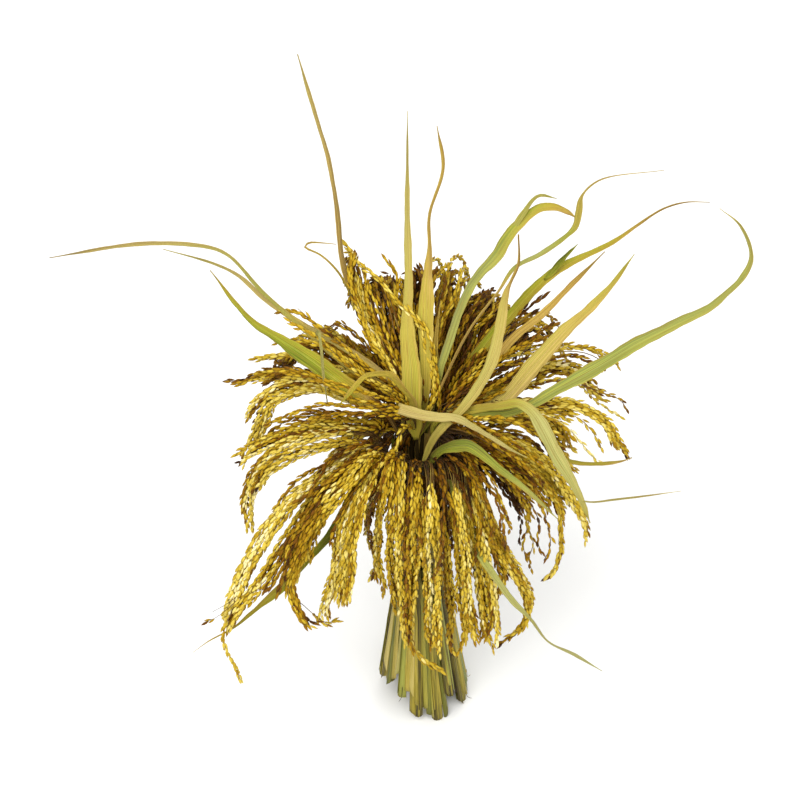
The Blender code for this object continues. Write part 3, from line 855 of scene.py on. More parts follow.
LOCKS = (
    # Left: the ears that hang over the bunch's left side, from the back to the front
    Lock(0, 5, 1.8, 2.8, -0.1, 36, ((-38, 22), (-64, 34), (-88, 40), (-108, 39), (-123, 30), (-133, 20),
        (-142, 9))),
    Lock(0, 8, 1.8, 4.7, 0.05, 36, ((-36, 18), (-60, 27), (-84, 34), (-104, 31), (-120, 23), (-128, 8),
        (-134, -10), (-138, -22))),
    Lock(2, 6, 1.8, 2.8, 0, 36, ((-32, 32), (-56, 37), (-80, 40), (-102, 43), (-124, 44), (-144, 39),
        (-156, 37))),
    Lock(2, 3, 1.8, 1.8, 0, 36, ((-36, 36), (-64, 46), (-88, 56), (-108, 60), (-126, 58), (-144, 55),
        (-158, 55))),
    Lock(2, 6, 1.8, 5.6, -0.2, 36, ((-34, 28), (-56, 32), (-76, 37), (-96, 42), (-112, 42), (-126, 37))),
    Lock(9, 7, 1.8, 4.7, -0.1, 28, ((-20, 40), (-38, 54), (-54, 64), (-68, 71), (-80, 77))),
    Lock(9, 7, 1.8, 5.6, -0.2, 28, ((-24, 36), (-44, 46), (-64, 54), (-82, 62), (-96, 64), (-109, 54))),
    Lock(9, 2, 0.9, 1.8, -0.2, 28, ((-38, 60), (-50, 75), (-58, 82), (-66, 86), (-72, 82)), 2),
    Lock(0, 7, 2, 6, -0.02, 10, ((-19, 13), (-37, 9), (-54, -5), (-68, -22), (-78, -38), (-85, -52))),
    # A short dark lock that fills the hollow at the neck: painted shade
    Lock(0, 5, 3, 6, -0.34, 3, ((-13, 5), (-25, 5), (-37, -3), (-47, -13))),
    Lock(10, 5, 2.4, 5, -0.1, 10, ((-30, 2), (-46, 5), (-66, 4), (-86, 0), (-104, -9))),
    Lock(10, 7, 1.8, 5.6, -0.05, 26, ((-40, -1), (-68, 2), (-96, -1), (-120, -8), (-136, -17), (-146, -27))),
    Lock(10, 9, 1.8, 4.7, 0.05, 26, ((-38, -5), (-68, -2), (-96, -8), (-117, -18), (-131, -35), (-139, -56),
        (-139, -82))),
    Lock(10, 5, 1.8, 3.8, -0.1, 22, ((-37, -10), (-60, -10), (-84, -15), (-104, -21), (-120, -30),
        (-130, -42), (-136, -51))),
    Lock(11, 10, 1.8, 5.6, 0.16, 18, ((-44, -16), (-60, -24), (-80, -38), (-100, -54), (-117, -74),
        (-130, -94), (-142, -116), (-152, -138), (-159, -162))),
    Lock(11, 7, 1.8, 4.7, 0.06, 18, ((-42, -18), (-56, -27), (-75, -46), (-92, -67), (-106, -90),
        (-120, -110), (-134, -130), (-147, -147), (-155, -163))),
    Lock(11, 8, 1.8, 6.4, -0.28, 18, ((-43, -21), (-60, -34), (-76, -52), (-90, -74), (-101, -94),
        (-110, -115), (-120, -134))),
    Lock(11, 5, 1.8, 2.8, -0.22, 18, ((-43, -24), (-59, -40), (-75, -61), (-88, -84), (-98, -106),
        (-104, -126), (-99, -144), (-90, -158), (-80, -162))),
    Lock(12, 7, 1.8, 5.4, 0.05, 30, ((-38, -20), (-54, -32), (-70, -48), (-82, -66), (-93, -86), (-98, -106),
        (-104, -126))),
    Lock(12, 6, 1.8, 4.4, -0.04, 30, ((-37, -22), (-50, -35), (-65, -52), (-78, -67), (-86, -84),
        (-92, -104))),
    Lock(12, 8, 1.8, 4, 0.03, 24, ((-34, -22), (-46, -40), (-55, -58), (-62, -80), (-66, -104), (-71, -128),
        (-76, -150), (-69, -157))),
    Lock(12, 7, 1.8, 3.2, -0.02, 24, ((-32, -24), (-42, -42), (-50, -60), (-55, -80), (-58, -104),
        (-61, -128), (-62, -146), (-59, -154))),
    Lock(12, 3, 1.8, 1.6, -0.08, 24, ((-31, -26), (-39, -44), (-47, -64), (-53, -88), (-54, -112),
        (-56, -128), (-58, -141))),
    # Front: the ears that hang before the stems, from left to right
    Lock(13, 2, 1, 1.2, -0.05, 30, ((-24, -22), (-32, -44), (-39, -60), (-42, -74), (-39, -92), (-35, -106),
        (-40, -120))),
    Lock(13, 4, 1.4, 2.6, 0.02, 26, ((-22, -21), (-27, -45), (-32, -64), (-35, -88), (-34, -106),
        (-30, -124), (-26, -142))),
    Lock(13, 4, 2, 3, -0.1, 30, ((-18, -21), (-22, -48), (-23, -76), (-24, -100), (-22, -122), (-18, -142),
        (-16, -160))),
    Lock(13, 3, 2, 2.6, 0.08, 32, ((-13, -22), (-16, -52), (-17, -84), (-16, -112), (-15, -138), (-13, -162),
        (-9, -179))),
    Lock(13, 3, 1.2, 2, -0.12, 40, ((-8, -26), (-10, -56), (-10, -88), (-10, -120), (-10, -148), (-6, -170),
        (1, -184))),
    Lock(14, 3, 2, 2.4, 0.06, 36, ((-2, -29), (-3, -60), (-5, -92), (-6, -124), (-7, -152), (-5, -174),
        (4, -186))),
    Lock(14, 2, 0.8, 1.2, 0, 44, ((1, -30), (1, -72), (-2, -120), (-8, -156), (-7, -174), (3, -186),
        (17, -194))),
    Lock(14, 3, 2, 2.6, -0.06, 56, ((6, -30), (6, -60), (6, -92), (6, -124), (6, -154), (8, -182))),
    Lock(14, 3, 1.6, 2.4, 0.08, 54, ((10, -30), (12, -60), (14, -92), (15, -124), (15, -152), (14, -178),
        (17, -195))),
    Lock(15, 4, 1.6, 2.6, -0.1, 74, ((17, -29), (19, -56), (22, -88), (23, -120), (25, -150), (26, -174),
        (30, -186))),
    Lock(15, 3, 1.6, 2.2, 0.02, 62, ((21, -29), (25, -56), (29, -88), (32, -120), (34, -146), (37, -168),
        (34, -182))),
    Lock(15, 4, 1.6, 2.8, -0.02, 50, ((26, -29), (30, -56), (35, -88), (38, -120), (42, -146), (44, -166),
        (49, -181))),
    Lock(16, 4, 1.6, 2.8, 0.06, 38, ((31, -27), (36, -54), (42, -86), (46, -116), (50, -144), (53, -165),
        (50, -178))),
    Lock(16, 4, 1.6, 2.8, 0, 42, ((34, -26), (41, -52), (48, -80), (54, -108), (58, -134), (61, -154),
        (65, -171), (68, -182))),
    Lock(16, 4, 1.4, 2, -0.1, 50, ((37, -26), (45, -54), (53, -80), (60, -101), (66, -115), (66, -126),
        (62, -139), (59, -154))),
    Lock(3, 4, 1.6, 2, 0.06, 30, ((40, -22), (49, -48), (57, -70), (65, -90), (75, -108), (85, -124),
        (90, -138), (87, -152), (78, -166), (66, -176))),
    Lock(3, 4, 1.6, 2, -0.02, 30, ((39, -22), (48, -50), (56, -72), (64, -94), (74, -111), (82, -126),
        (87, -139), (85, -154), (76, -165), (64, -174))),
    Lock(3, 6, 2, 4, -0.06, 36, ((38, -22), (47, -50), (55, -76), (64, -96), (72, -112), (79, -126))),
    Lock(15, 4, 1.8, 3, -0.02, 60, ((28, -30), (31, -60), (34, -88), (37, -116), (39, -140), (42, -160),
        (43, -174))),
    Lock(16, 5, 1.8, 3.2, 0.02, 46, ((32, -30), (38, -60), (43, -90), (48, -118), (52, -142), (56, -163),
        (60, -180))),
    Lock(16, 4, 1.8, 2.6, -0.04, 50, ((35, -30), (42, -58), (50, -85), (55, -110), (58, -134), (60, -156),
        (59, -171))),
    # Right: thin broken branches, then the ears that hang over the bunch's right side
    Lock(18, 1, 1, 1, -0.35, 26, ((43, -26), (56, -32), (70, -48), (78, -62), (82, -78), (80, -93)), 2.2),
    Lock(18, 1, 1, 1, -0.3, 26, ((45, -24), (60, -34), (76, -52), (84, -66), (88, -80), (92, -93),
        (88, -104), (91, -115)), 2.2),
    Lock(18, 5, 1.4, 4.5, -0.3, 20, ((43, -22), (58, -30), (69, -43), (76, -56), (83, -67))),
    Lock(17, 7, 1.4, 8.1, -0.2, 18, ((43, -16), (58, -22), (74, -36), (88, -52), (96, -67))),
    Lock(17, 1, 1, 1, -0.3, 26, ((45, -20), (64, -38), (80, -56), (88, -74), (84, -92), (86, -105)), 2.2),
    Lock(17, 1, 1, 1, -0.3, 26, ((48, -20), (72, -40), (89, -58), (97, -74), (95, -90), (99, -101)), 2.2),
    Lock(17, 1, 1, 1, -0.25, 26, ((52, -20), (76, -38), (94, -56), (104, -80), (105, -96), (100, -106)),
        2.2),
    Lock(4, 7, 2.1, 5.4, 0, 26, ((48, -3), (74, -13), (94, -27), (112, -48), (125, -64))),
    Lock(4, 5, 2.1, 2.8, 0.04, 26, ((48, -2), (74, -8), (97, -21), (114, -42), (127, -64), (134, -80),
        (135, -94))),
    Lock(4, 6, 2.1, 5.4, -0.08, 26, ((46, -6), (67, -18), (86, -35), (101, -54), (108, -68))),
    Lock(4, 3, 2.1, 1.7, 0, 26, ((46, -5), (69, -16), (89, -32), (105, -50), (113, -68), (115, -88),
        (114, -104), (111, -115), (102, -123))),
    Lock(19, 7, 2.1, 6.2, -0.05, 28, ((64, 10), (84, 14), (102, 8), (114, -5), (122, -20))),
    Lock(19, 3, 1.4, 2.8, -0.1, 28, ((60, 5), (80, 8), (96, 0), (110, -14), (122, -27), (134, -35))),
    Lock(5, 7, 2.1, 3.6, 0.04, 30, ((68, 18), (96, 22), (120, 21), (136, 15), (149, 5), (158, -9),
        (166, -21), (168, -30))),
    Lock(5, 5, 2.1, 4.5, -0.05, 30, ((64, 16), (88, 18), (109, 16), (125, 10), (134, 5))),
    Lock(5, 1, 1, 1, 0, 30, ((88, 18), (112, 14), (128, 9), (138, 0), (144, -9), (148, -18)), 2),
    Lock(5, 1, 1, 1, 0, 30, ((100, 12), (116, 4), (128, -8), (138, -20), (144, -26)), 2),
    Lock(6, 6, 2.1, 3.6, -0.05, 26, ((48, 26), (80, 42), (104, 51), (122, 50), (136, 38), (150, 29),
        (160, 26))),
    Lock(6, 7, 2.1, 7.2, -0.12, 26, ((48, 26), (74, 37), (96, 46), (114, 51), (126, 46))),
    Lock(6, 1, 1, 1, 0, 26, ((104, 40), (128, 36), (144, 22), (154, 16), (164, 10)), 2),
    Lock(6, 1, 1, 1, -0.1, 26, ((112, 40), (136, 34), (154, 27), (163, 23), (168, 14)), 2),
    # Back: the ears that lean away; their dark tones are partly painted shade
    Lock(1, 6, 1.6, 3.4, -0.12, 8, ((-18, 37), (-27, 58), (-37, 77), (-45, 96), (-51, 114))),
    Lock(7, 8, 2, 6, -0.26, 8, ((19, 26), (24, 44), (30, 64), (35, 85), (41, 102))),
    Lock(21, 8, 2, 5, -0.3, 8, ((29, 22), (40, 40), (51, 59), (62, 75), (70, 86))),
    Lock(8, 9, 2, 8, -0.32, 10, ((-13, 34), (-18, 62), (-23, 86), (-26, 104), (-29, 118))),
    Lock(8, 7, 2, 6, -0.16, 10, ((-5, 34), (-3, 64), (-2, 88), (-2, 109), (-3, 123))),
    Lock(20, 8, 2, 5, -0.3, 10, ((34, 22), (46, 39), (59, 56), (71, 69), (80, 75))),
    Lock(1, 6, 1.4, 2.5, 0.05, 8, ((-18, 47), (-26, 61), (-34, 74), (-42, 88), (-47, 102), (-50, 116),
        (-54, 130))),
    Lock(1, 4, 1.4, 2, -0.18, 8, ((-18, 43), (-29, 58), (-39, 72), (-47, 88), (-53, 106), (-56, 123),
        (-54, 138))),
    Lock(1, 14, 1.4, 9, -0.18, 46, ((-14, 46), (-19, 64), (-24, 84), (-30, 102), (-34, 115)), 2.4),
    Lock(7, 6, 2, 4, -0.1, 14, ((21, 24), (21, 44), (22, 63), (25, 80), (28, 95))),
    Lock(7, 7, 2, 5, -0.26, 10, ((16, 24), (16, 48), (18, 72), (20, 94), (22, 110))),
    Lock(21, 9, 2, 6, -0.3, 8, ((24, 20), (30, 40), (36, 64), (43, 86), (51, 104))),
    Lock(21, 7, 2, 4.5, -0.3, 8, ((27, 20), (34, 40), (45, 64), (54, 84), (62, 99))),
    Lock(21, 5, 2, 3.7, -0.15, 8, ((29, 20), (37, 42), (48, 64), (59, 84), (69, 90), (72, 72))),
)


@dataclass
class Bunch:
    """Where every stalk of the bunch stands, at any height. Below the waist the stalks splay, and their feet
    lie a little to the right of the neck."""

    waist_height: float = 205.0
    foot_diameter: float = 11.0
    waist_diameter: float = 5.2
    top_diameter: float = 2.6
    upright_foot: float = 3.0
    splay: float = 1.1
    foot_shift: float = 4.5
    waist_azimuths: dict[int, float] = field(default_factory=dict)

    def __post_init__(self) -> None:
        """Spreads each ring's stalks evenly round the waist, in the ears' order."""
        for row in Row:
            members = sorted((plan.start, i) for i, plan in enumerate(EARS) if plan.row is row)
            count = len(members)
            first = sum(start for start, _ in members) / count - 180 * (count - 1) / count
            for rank, (_, i) in enumerate(members):
                self.waist_azimuths[i] = first + 360 * rank / count

    def stalk_at(self, index: int, height: float) -> tuple[Vector, float]:
        """A stalk at a height.

        Args:
            index: The stalk's place in the ears' order.
            height: The height above the floor.

        Returns:
            The middle of the stalk there, and its diameter.
        """
        plan, waist_azimuth = EARS[index], self.waist_azimuths[index]
        ring = plan.row.value
        height = max(height, 0.0)
        if height <= self.waist_height:
            down = 1 - max(height, self.upright_foot) / self.waist_height
            out = ring.waist + (ring.foot - ring.waist) * down**self.splay
            swelling = (self.foot_diameter - self.waist_diameter) * (1 - height / self.waist_height)
            shift = Vector((self.foot_shift * down, 0.0, 0.0))
            return polar(waist_azimuth, out, height) + shift, self.waist_diameter + swelling
        up = (height - self.waist_height) / (ring.top - self.waist_height)
        azimuth = waist_azimuth + (plan.start - waist_azimuth) * smoothstep(up)
        diameter = self.waist_diameter + (self.top_diameter - self.waist_diameter) * up
        return polar(azimuth, ring.waist + (ring.neck - ring.waist) * up * up, height), diameter


@dataclass
class Eye:
    """The viewpoint that the leaves' places are given from: in front of the bunch and above it."""

    elevation: float = 40.0
    distance: float = 1500.0
    aim: Triple = (-16.0, 0.0, 346.0)
    neck: Triple = (0.0, 0.0, 315.0)

    def axes(self) -> tuple[Vector, Vector, Vector]:
        """The eye's right, up and backward directions.

        Returns:
            The three directions.
        """
        angle = math.radians(self.elevation)
        up = Vector((0.0, math.sin(angle), math.cos(angle)))
        back = Vector((0.0, -math.cos(angle), math.sin(angle)))
        return Vector((1.0, 0.0, 0.0)), up, back

    def position(self) -> Vector:
        """Where the eye is."""
        return Vector(self.aim) + self.axes()[2] * self.distance

    def seen(self, right: float, up: float, behind: float) -> Vector:
        """The place a distance behind the neck that the eye sees that far right of it and above it.

        Args:
            right: How far right.
            up: How far above.
            behind: How far behind.

        Returns:
            The place.
        """
        right_axis, up_axis, _ = self.axes()
        on_plane = Vector(self.neck) + right_axis * right + up_axis * up
        ray = on_plane - self.position()
        return self.position() + ray * ((behind - self.position().y) / ray.y)


# ---- ears


@dataclass
class Pile:
    """Many small closed shapes gathered into one mesh of triangles."""

    parts: list[tuple[Array, ...]] = field(default_factory=list)
    count: int = 0

    def add(self, points: Array, faces: Array, maps: Array, shades: Array, slot: int) -> None:
        """Adds one shape, or many alike.

        Args:
            points: The vertices, in millimetres.
            faces: Three vertex numbers for each triangle, counted in this shape.
            maps: The UV of each corner of each triangle.
            shades: The shade of each vertex.
            slot: The number of its material.
        """
        self.parts.append((points * MM, faces + self.count, maps, shades, np.full(len(faces), slot)))
        self.count += len(points)

    def mesh(self, name: str) -> Mesh:
        """The pile as one smooth mesh.

        Args:
            name: The mesh's name.

        Returns:
            The mesh, in metres.
        """
        points, faces, maps, shades, slots = (np.concatenate(column) for column in zip(*self.parts))
        mesh = bpy.data.meshes.new(name)
        mesh.vertices.add(len(points))
        mesh.vertices.foreach_set("co", points.ravel())
        mesh.loops.add(faces.size)
        mesh.loops.foreach_set("vertex_index", faces.ravel())
        mesh.polygons.add(len(faces))
        mesh.polygons.foreach_set("loop_start", np.arange(0, faces.size, 3))
        mesh.polygons.foreach_set("material_index", slots)
        mesh.uv_layers.new(name="UVMap").data.foreach_set("uv", maps.ravel())
        mesh.attributes.new("shade", "FLOAT", "POINT").data.foreach_set("value", shades)
        mesh.update()
        mesh.validate()
        mesh.shade_smooth()
        return mesh


def as_triangles(shape: Shape) -> Triangles:
    """A shape's vertices, triangles and the UV of each corner; the shape is used up.

    Args:
        shape: The shape.

    Returns:
        The vertices, triangles and UVs.
    """
    bmesh.ops.triangulate(shape, faces=shape.faces)
    layer = shape.loops.layers.uv.verify()
    points = np.array([tuple(vertex.co) for vertex in shape.verts])
    faces = np.array([[vertex.index for vertex in face.verts] for face in shape.faces])
    maps = np.array([[tuple(loop[layer].uv) for loop in face.loops] for face in shape.faces])
    shape.free()
    return points, faces, maps


@dataclass(frozen=True)
class Grain:
    """A grain of rice in its husk: a flattened spindle with a keel on each edge and a short beak, fullest
    below its middle."""

    length: float = 8.5
    width: float = 2.6
    thickness: float = 1.9
    swell: float = 1.28
    tip_taper: float = 0.35
    foot_taper: float = 0.2
    beak: float = 0.06
    beak_from: float = 0.8
    sides: int = 6
    rings: int = 3

    def shape(self) -> Triangles:
        """The grain's vertices, triangles and UVs, with its foot at the origin and its tip along +Z.

        Returns:
            The three, in millimetres.
        """
        shape = bmesh.new()
        shape.loops.layers.uv.new("UVMap")
        bmesh.ops.create_uvsphere(
            shape, u_segments=self.sides, v_segments=self.rings, radius=1.0, calc_uvs=True
        )
        for vertex in shape.verts:
            # The rings are drawn to the middle, so that both ends are points
            share = (1 + vertex.co.z * (0.45 + 0.55 * vertex.co.z**2)) / 2
            fullness = self.swell * (1.0 - self.tip_taper * share**2 - self.foot_taper * (1 - share) ** 2)
            beak = self.beak * smoothstep((share - self.beak_from) / (1 - self.beak_from))
            vertex.co.x = (vertex.co.x * fullness + beak) * self.width / 2
            vertex.co.y = vertex.co.y * fullness * self.thickness / 2
            vertex.co.z = share * self.length
        bmesh.ops.recalc_face_normals(shape, faces=shape.faces)
        points, faces, maps = as_triangles(shape)
        maps[:, :, 1] = points[faces][:, :, 2] / self.length
        return points, faces, maps


@dataclass(frozen=True)
class Branch:
    """A branch of an ear: its points, a millimetre apart, how much paler its grain is than the ear's, how
    much of its start is bare, and how many times wider apart its grain is."""

    points: Array
    tone: float
    bare: float
    sparse: float = 1.0


def swaying(along: Array, waves: Stops, starts: Array) -> Array:
    """How far a branch sways at each point along it. Each wave is a height and a length."""
    return sum(height * np.sin(along / length + start) for (height, length), start in zip(waves, starts))


@dataclass
class Ear:
    """A drooping ear: its axis, the branches that hang from it side by side, and their grain."""

    bunch: Bunch
    eye: Eye
    index: int
    grain: Grain = Grain()
    top_branches: int = 5
    low_branches: int = 5
    depth: float = 0.62
    # Long branches gather in locks at these shares of the ear's width, and lie this far below its axis
    gathered: tuple[float, ...] = (0.08, 0.36, 0.64, 0.92)
    layers: tuple[float, ...] = (0.9, -0.5, 0.2, -0.9, 0.5)
    across_waves: Stops = ((2.4, 21.0), (0.7, 7.5))
    through_waves: Stops = ((2.0, 19.0), (0.6, 8.3))
    lock_waves: Stops = ((1.1, 19.0), (0.45, 7.5))
    branch_end: float = 34.0
    lock_end: float = 30.0
    grain_gap: float = 2.35
    grain_turn: float = 138.0
    grain_lean: float = 7.5
    lean_spread: float = 5.0
    grain_out: float = 0.7
    axis_radius: float = 0.9
    branch_radius: float = 0.42
    tip_lean: float = 15.0
    rise: float = 26.0
    gap: float = 0.3
    stray_rise: float = 45.0
    # How the locks of an ear that leans back fall away: the share of its axis, and steps outwards and down
    back_reach: float = 0.6
    back_narrow: float = 0.4
    fall: Stops = ((11.0, 4.0), (19.0, 17.0), (23.0, 36.0))
    # Painted shade: branches behind in a lock are this much darker, and grain at the neck this much darker,
    # fading out over the neck reach
    painted_shade_behind: float = 0.22
    painted_shade_at_neck: float = 0.26
    neck_reach: float = 48.0

    def __post_init__(self) -> None:
        """Reads the ear's plan, and lays out its axis with the directions across and through the ear."""
        self.plan = EARS[self.index]
        self.chance = np.random.default_rng(100 + self.index)
        self.axis = Line(self.route())
        across = np.array(polar(self.plan.tip[0] + 90, 1.0, 0.0))
        ahead = self.axis.ahead
        self.side = unit(across - ahead * (ahead @ across)[:, None])
        self.face = np.cross(self.side, ahead)
        self.leans_back = math.cos(math.radians(self.plan.tip[0])) < -0.6

    def route(self) -> list[Vector]:
        """The line of the ear: up from its stalk's top, over its crest and down to its tip.

        Returns:
            Points along it.
        """
        plan = self.plan
        start, _ = self.bunch.stalk_at(self.index, plan.row.value.top)
        below, _ = self.bunch.stalk_at(self.index, plan.row.value.top - 2.0)
        upwards = (start - below).normalized()
        start = start + upwards * self.gap
        azimuth, out, height = plan.tip
        tip = polar(azimuth, out, height)
        crest = polar((plan.start + azimuth) / 2, *plan.crest)
        outwards = polar(azimuth, 1.0, 0.0)
        rising = 0.4 * (crest - start).length
        steep = min(rising, 0.8 * (crest.z - start.z))
        falling = 0.45 * (tip - crest).length
        lean = math.radians(self.tip_lean)
        back_up = polar(azimuth, -math.sin(lean), math.cos(lean))
        rise = bezier(start, start + upwards * steep, crest - outwards * rising, crest)
        return rise + bezier(crest, crest + outwards * falling, tip + back_up * falling, tip)[1:]

    def branch(
        self, span: tuple[float, float], across: tuple[float, float], through: float, opening: float
    ) -> Array:
        """One branch of the ear, beside its axis.

        Args:
            span: Where it leaves the axis and where it ends, as shares of the axis.
            across: How far to the side it is once it has opened, and at its end, in half widths.
            through: How far below the axis it goes, or above it where less than 0.
            opening: How far on it has reached its own place beside the axis.

        Returns:
            Its points, a millimetre apart.
        """
        chance, axis = self.chance, self.axis
        first, last = span[0] * axis.length, min(span[1], 1.0) * axis.length
        rows = np.where((axis.along >= first) & (axis.along <= last))[0]
        along = axis.along[rows]
        gone = along - along[0]
        opened = eased(gone / opening)
        half = self.plan.half_width * (1 - 0.2 * np.clip((along / axis.length - 0.6) / 0.4, 0, 1))
        loose = np.clip((gone - gone[-1] + self.branch_end) / self.branch_end, 0, 1) ** 2
        starts = chance.uniform(0, TURN, 4)
        curl_across, curl_through = chance.uniform(-8, 8), chance.uniform(-4, 6)
        place = (across[0] + (across[1] - across[0]) * eased(gone / gone[-1])) * half
        deep = through * half * self.depth
        beside = opened * (place + swaying(along, self.across_waves, starts[:2])) + loose * curl_across
        before = opened * (deep + swaying(along, self.through_waves, starts[2:])) + loose * curl_through
        return axis.points[rows] + self.side[rows] * beside[:, None] + self.face[rows] * before[:, None]

    def lock_line(self, lock: Lock, off_middle: float, deeper: float) -> Line:
        """The line of one branch of a lock, before it is shifted to its side.

        Args:
            lock: The lock.
            off_middle: How far behind the axis the lock hangs, or before it where less than 0.
            deeper: How far behind the lock's middle the branch hangs.

        Returns:
            The line.
        """
        steps = [math.dist(a, b) for a, b in zip(lock.places, lock.places[1:])]
        length = self.rise + sum(steps)
        reach = self.back_reach if self.leans_back else 1.0
        start, _ = self.axis.at(self.chance.uniform(0.015, 0.07))
        places = [start]
        for rank, (right, up) in enumerate(lock.places):
            share = (self.rise + sum(steps[:rank])) / length
            middle, _ = self.axis.at(share * reach)
            behind = middle.y + share * off_middle + deeper * smoothstep(2 * share)
            places.append(self.eye.seen(right, up, behind))
        if self.leans_back:
            outwards = polar(self.plan.tip[0], 1.0, 0.0)
            outwards.x *= self.back_narrow
            last = places[-1]
            places += [last + outwards * out - Vector((0.0, 0.0, down)) for out, down in self.fall]
        return Line(smooth_curve(places))

    def locked(self, lock: Lock, off_middle: float) -> list[tuple[Array, float]]:
        """The branches of a lock, as deep in the picture as the ear's axis is. Every second one is behind,
        and those of an ear that leans back fall away at the end, out of the eye's sight.

        Args:
            lock: The lock.
            off_middle: How far behind the axis it hangs, or before it where less than 0.

        Returns:
            The points of each branch, a millimetre apart, and how much darker it is than the lock: painted
            shade on the branches behind.
        """
        chance, found = self.chance, []
        toward = np.array(self.eye.axes()[2])
        many = lock.count > 2
        for rank in range(lock.count):
            hidden = rank % 2 == 1
            beside = 2 * (rank + 0.5) / lock.count - 1 + chance.uniform(-0.2, 0.2)
            deeper = chance.uniform(4.0, 8.0) if hidden else chance.uniform(-1.5, 1.0)
            line = self.lock_line(lock, off_middle, deeper)
            along = line.along
            side = unit(np.cross(line.ahead, toward))
            spread = lock.near + (lock.far - lock.near) * eased(along / (0.45 * line.length))
            sway = swaying(along, self.lock_waves, chance.uniform(0, TURN, 2))
            sway = sway * (0.4 if lock.count == 1 else 1.0)
            loose = np.clip((along - along[-1] + self.lock_end) / self.lock_end, 0, 1) ** 2
            loose = loose * chance.uniform(-4, 4) * many
            shift = np.clip(along / 12, 0, 1) * (beside * spread + sway) + loose
            points = line.points + side * shift[:, None]
            keep = round(len(points) * (chance.uniform(0.82, 1.0) if many else 1.0))
            # Branches behind are darkened as painted shade
            found.append((points[:keep], -self.painted_shade_behind if hidden and many else 0.0))
        return found

    def low_branch(self) -> Array:
        """A short branch that falls close beside the stalks, as its points a millimetre apart.

        Returns:
            Its points.
        """
        chance = self.chance
        start, _ = self.axis.at(chance.uniform(0.0, 0.04))
        azimuth = self.plan.start + chance.uniform(-30, 30)
        out = math.hypot(start.x, start.y)
        reach, drop = chance.uniform(14, 30), chance.uniform(35, 85)
        end = polar(azimuth, out + reach, start.z - drop)
        rise = Vector((0.0, 0.0, chance.uniform(6, 16)))
        back_up = polar(azimuth, -0.15 * drop, 0.75 * drop)
        return Line(bezier(start, start + rise, end + back_up, end)).points

    def nearest_top(self, place: Vector) -> Vector:
        """The top of the stalk that is nearest to a place."""
        tops = [self.bunch.stalk_at(index, plan.row.value.top)[0] for index, plan in enumerate(EARS)]
        return min(tops, key=lambda top: (top - place).length)

    def long_branches(self) -> list[Branch]:
        """The branches that hang side by side along the whole ear and gather in locks of its own.

        Returns:
            The branches.
        """
        chance, found = self.chance, []
        low, high = self.plan.sides
        count = self.plan.branches
        locks = [low + (high - low) * (place + chance.uniform(-0.08, 0.08)) for place in self.gathered]
        for rank in range(count):
            across = low + (high - low) * rank / (count - 1) + chance.uniform(-0.1, 0.1)
            lock = min(locks, key=lambda place: abs(place - across))
            through = self.layers[rank % len(self.layers)] + chance.uniform(-0.2, 0.2)
            leaves = 0.02 + 0.30 * ((rank * 7) % count) / count
            ends = 0.84 + 0.1 * (1 - abs(across)) + chance.uniform(-0.2, 0.08)
            # Branches that lie below the axis are darker: painted shade
            tone = -0.22 * max(0.0, through) + chance.normal(0, 0.09)
            line = self.branch((leaves, ends), (across, 0.35 * across + 0.65 * lock), through, 42.0)
            found.append(Branch(line, tone, chance.uniform(3, 11)))
        return found

    def locked_branches(self) -> list[Branch]:
        """The branches of the ear's locks, the first lock behind its axis and the last before it.

        Returns:
            The branches.
        """
        chance, found = self.chance, []
        own = [lock for lock in LOCKS if lock.ear == self.index]
        for rank, lock in enumerate(own):
            off_middle = 0.7 * self.plan.half_width * (1 - 2 * rank / (len(own) - 1)) if len(own) > 1 else 0.0
            # Each branch behind in a lock carries its painted shade
            for line, painted_shade in self.locked(lock, off_middle):
                tone = lock.tone + painted_shade + chance.normal(0, 0.14)
                found.append(Branch(line, tone, lock.bare * chance.uniform(0.75, 1.25), lock.sparse))
        return found

    def short_branches(self) -> list[Branch]:
        """Short branches that lie over the ear's start, and low ones that hang in its shade; both are
        darkened with painted shade.

        Returns:
            The branches.
        """
        chance, found = self.chance, []
        for _ in range(self.top_branches if self.plan.branches else 3):
            across, through = chance.uniform(-1.2, 1.2), chance.uniform(-1.4, 0.2)
            span = (chance.uniform(0.0, 0.05), chance.uniform(0.3, 0.6))
            line = self.branch(span, (across, across), through, 24.0)
            # Branches over the ear's start are darker: painted shade at the neck
            found.append(Branch(line, chance.normal(-0.3, 0.1), chance.uniform(12, 30)))
        for _ in range(self.low_branches):
            # Low branches are darker still: painted shade under the ear
            found.append(Branch(self.low_branch(), -0.4, chance.uniform(8, 24)))
        return found

    def stray_branches(self) -> list[Branch]:
        """The ear's strays. One that begins near the top of a stalk grows from it.

        Returns:
            The branches.
        """
        found = []
        for stray in STRAYS:
            if stray.ear == self.index:
                places = [self.eye.seen(*place) for place in stray.places]
                top = self.nearest_top(places[0])
                if (top - places[0]).length < self.stray_rise:
                    places.insert(0, top)
                bare = self.chance.uniform(3, 11) if stray.tone > -0.1 else self.chance.uniform(24, 36)
                found.append(Branch(Line(smooth_curve(places)).points, stray.tone, bare))
        return found

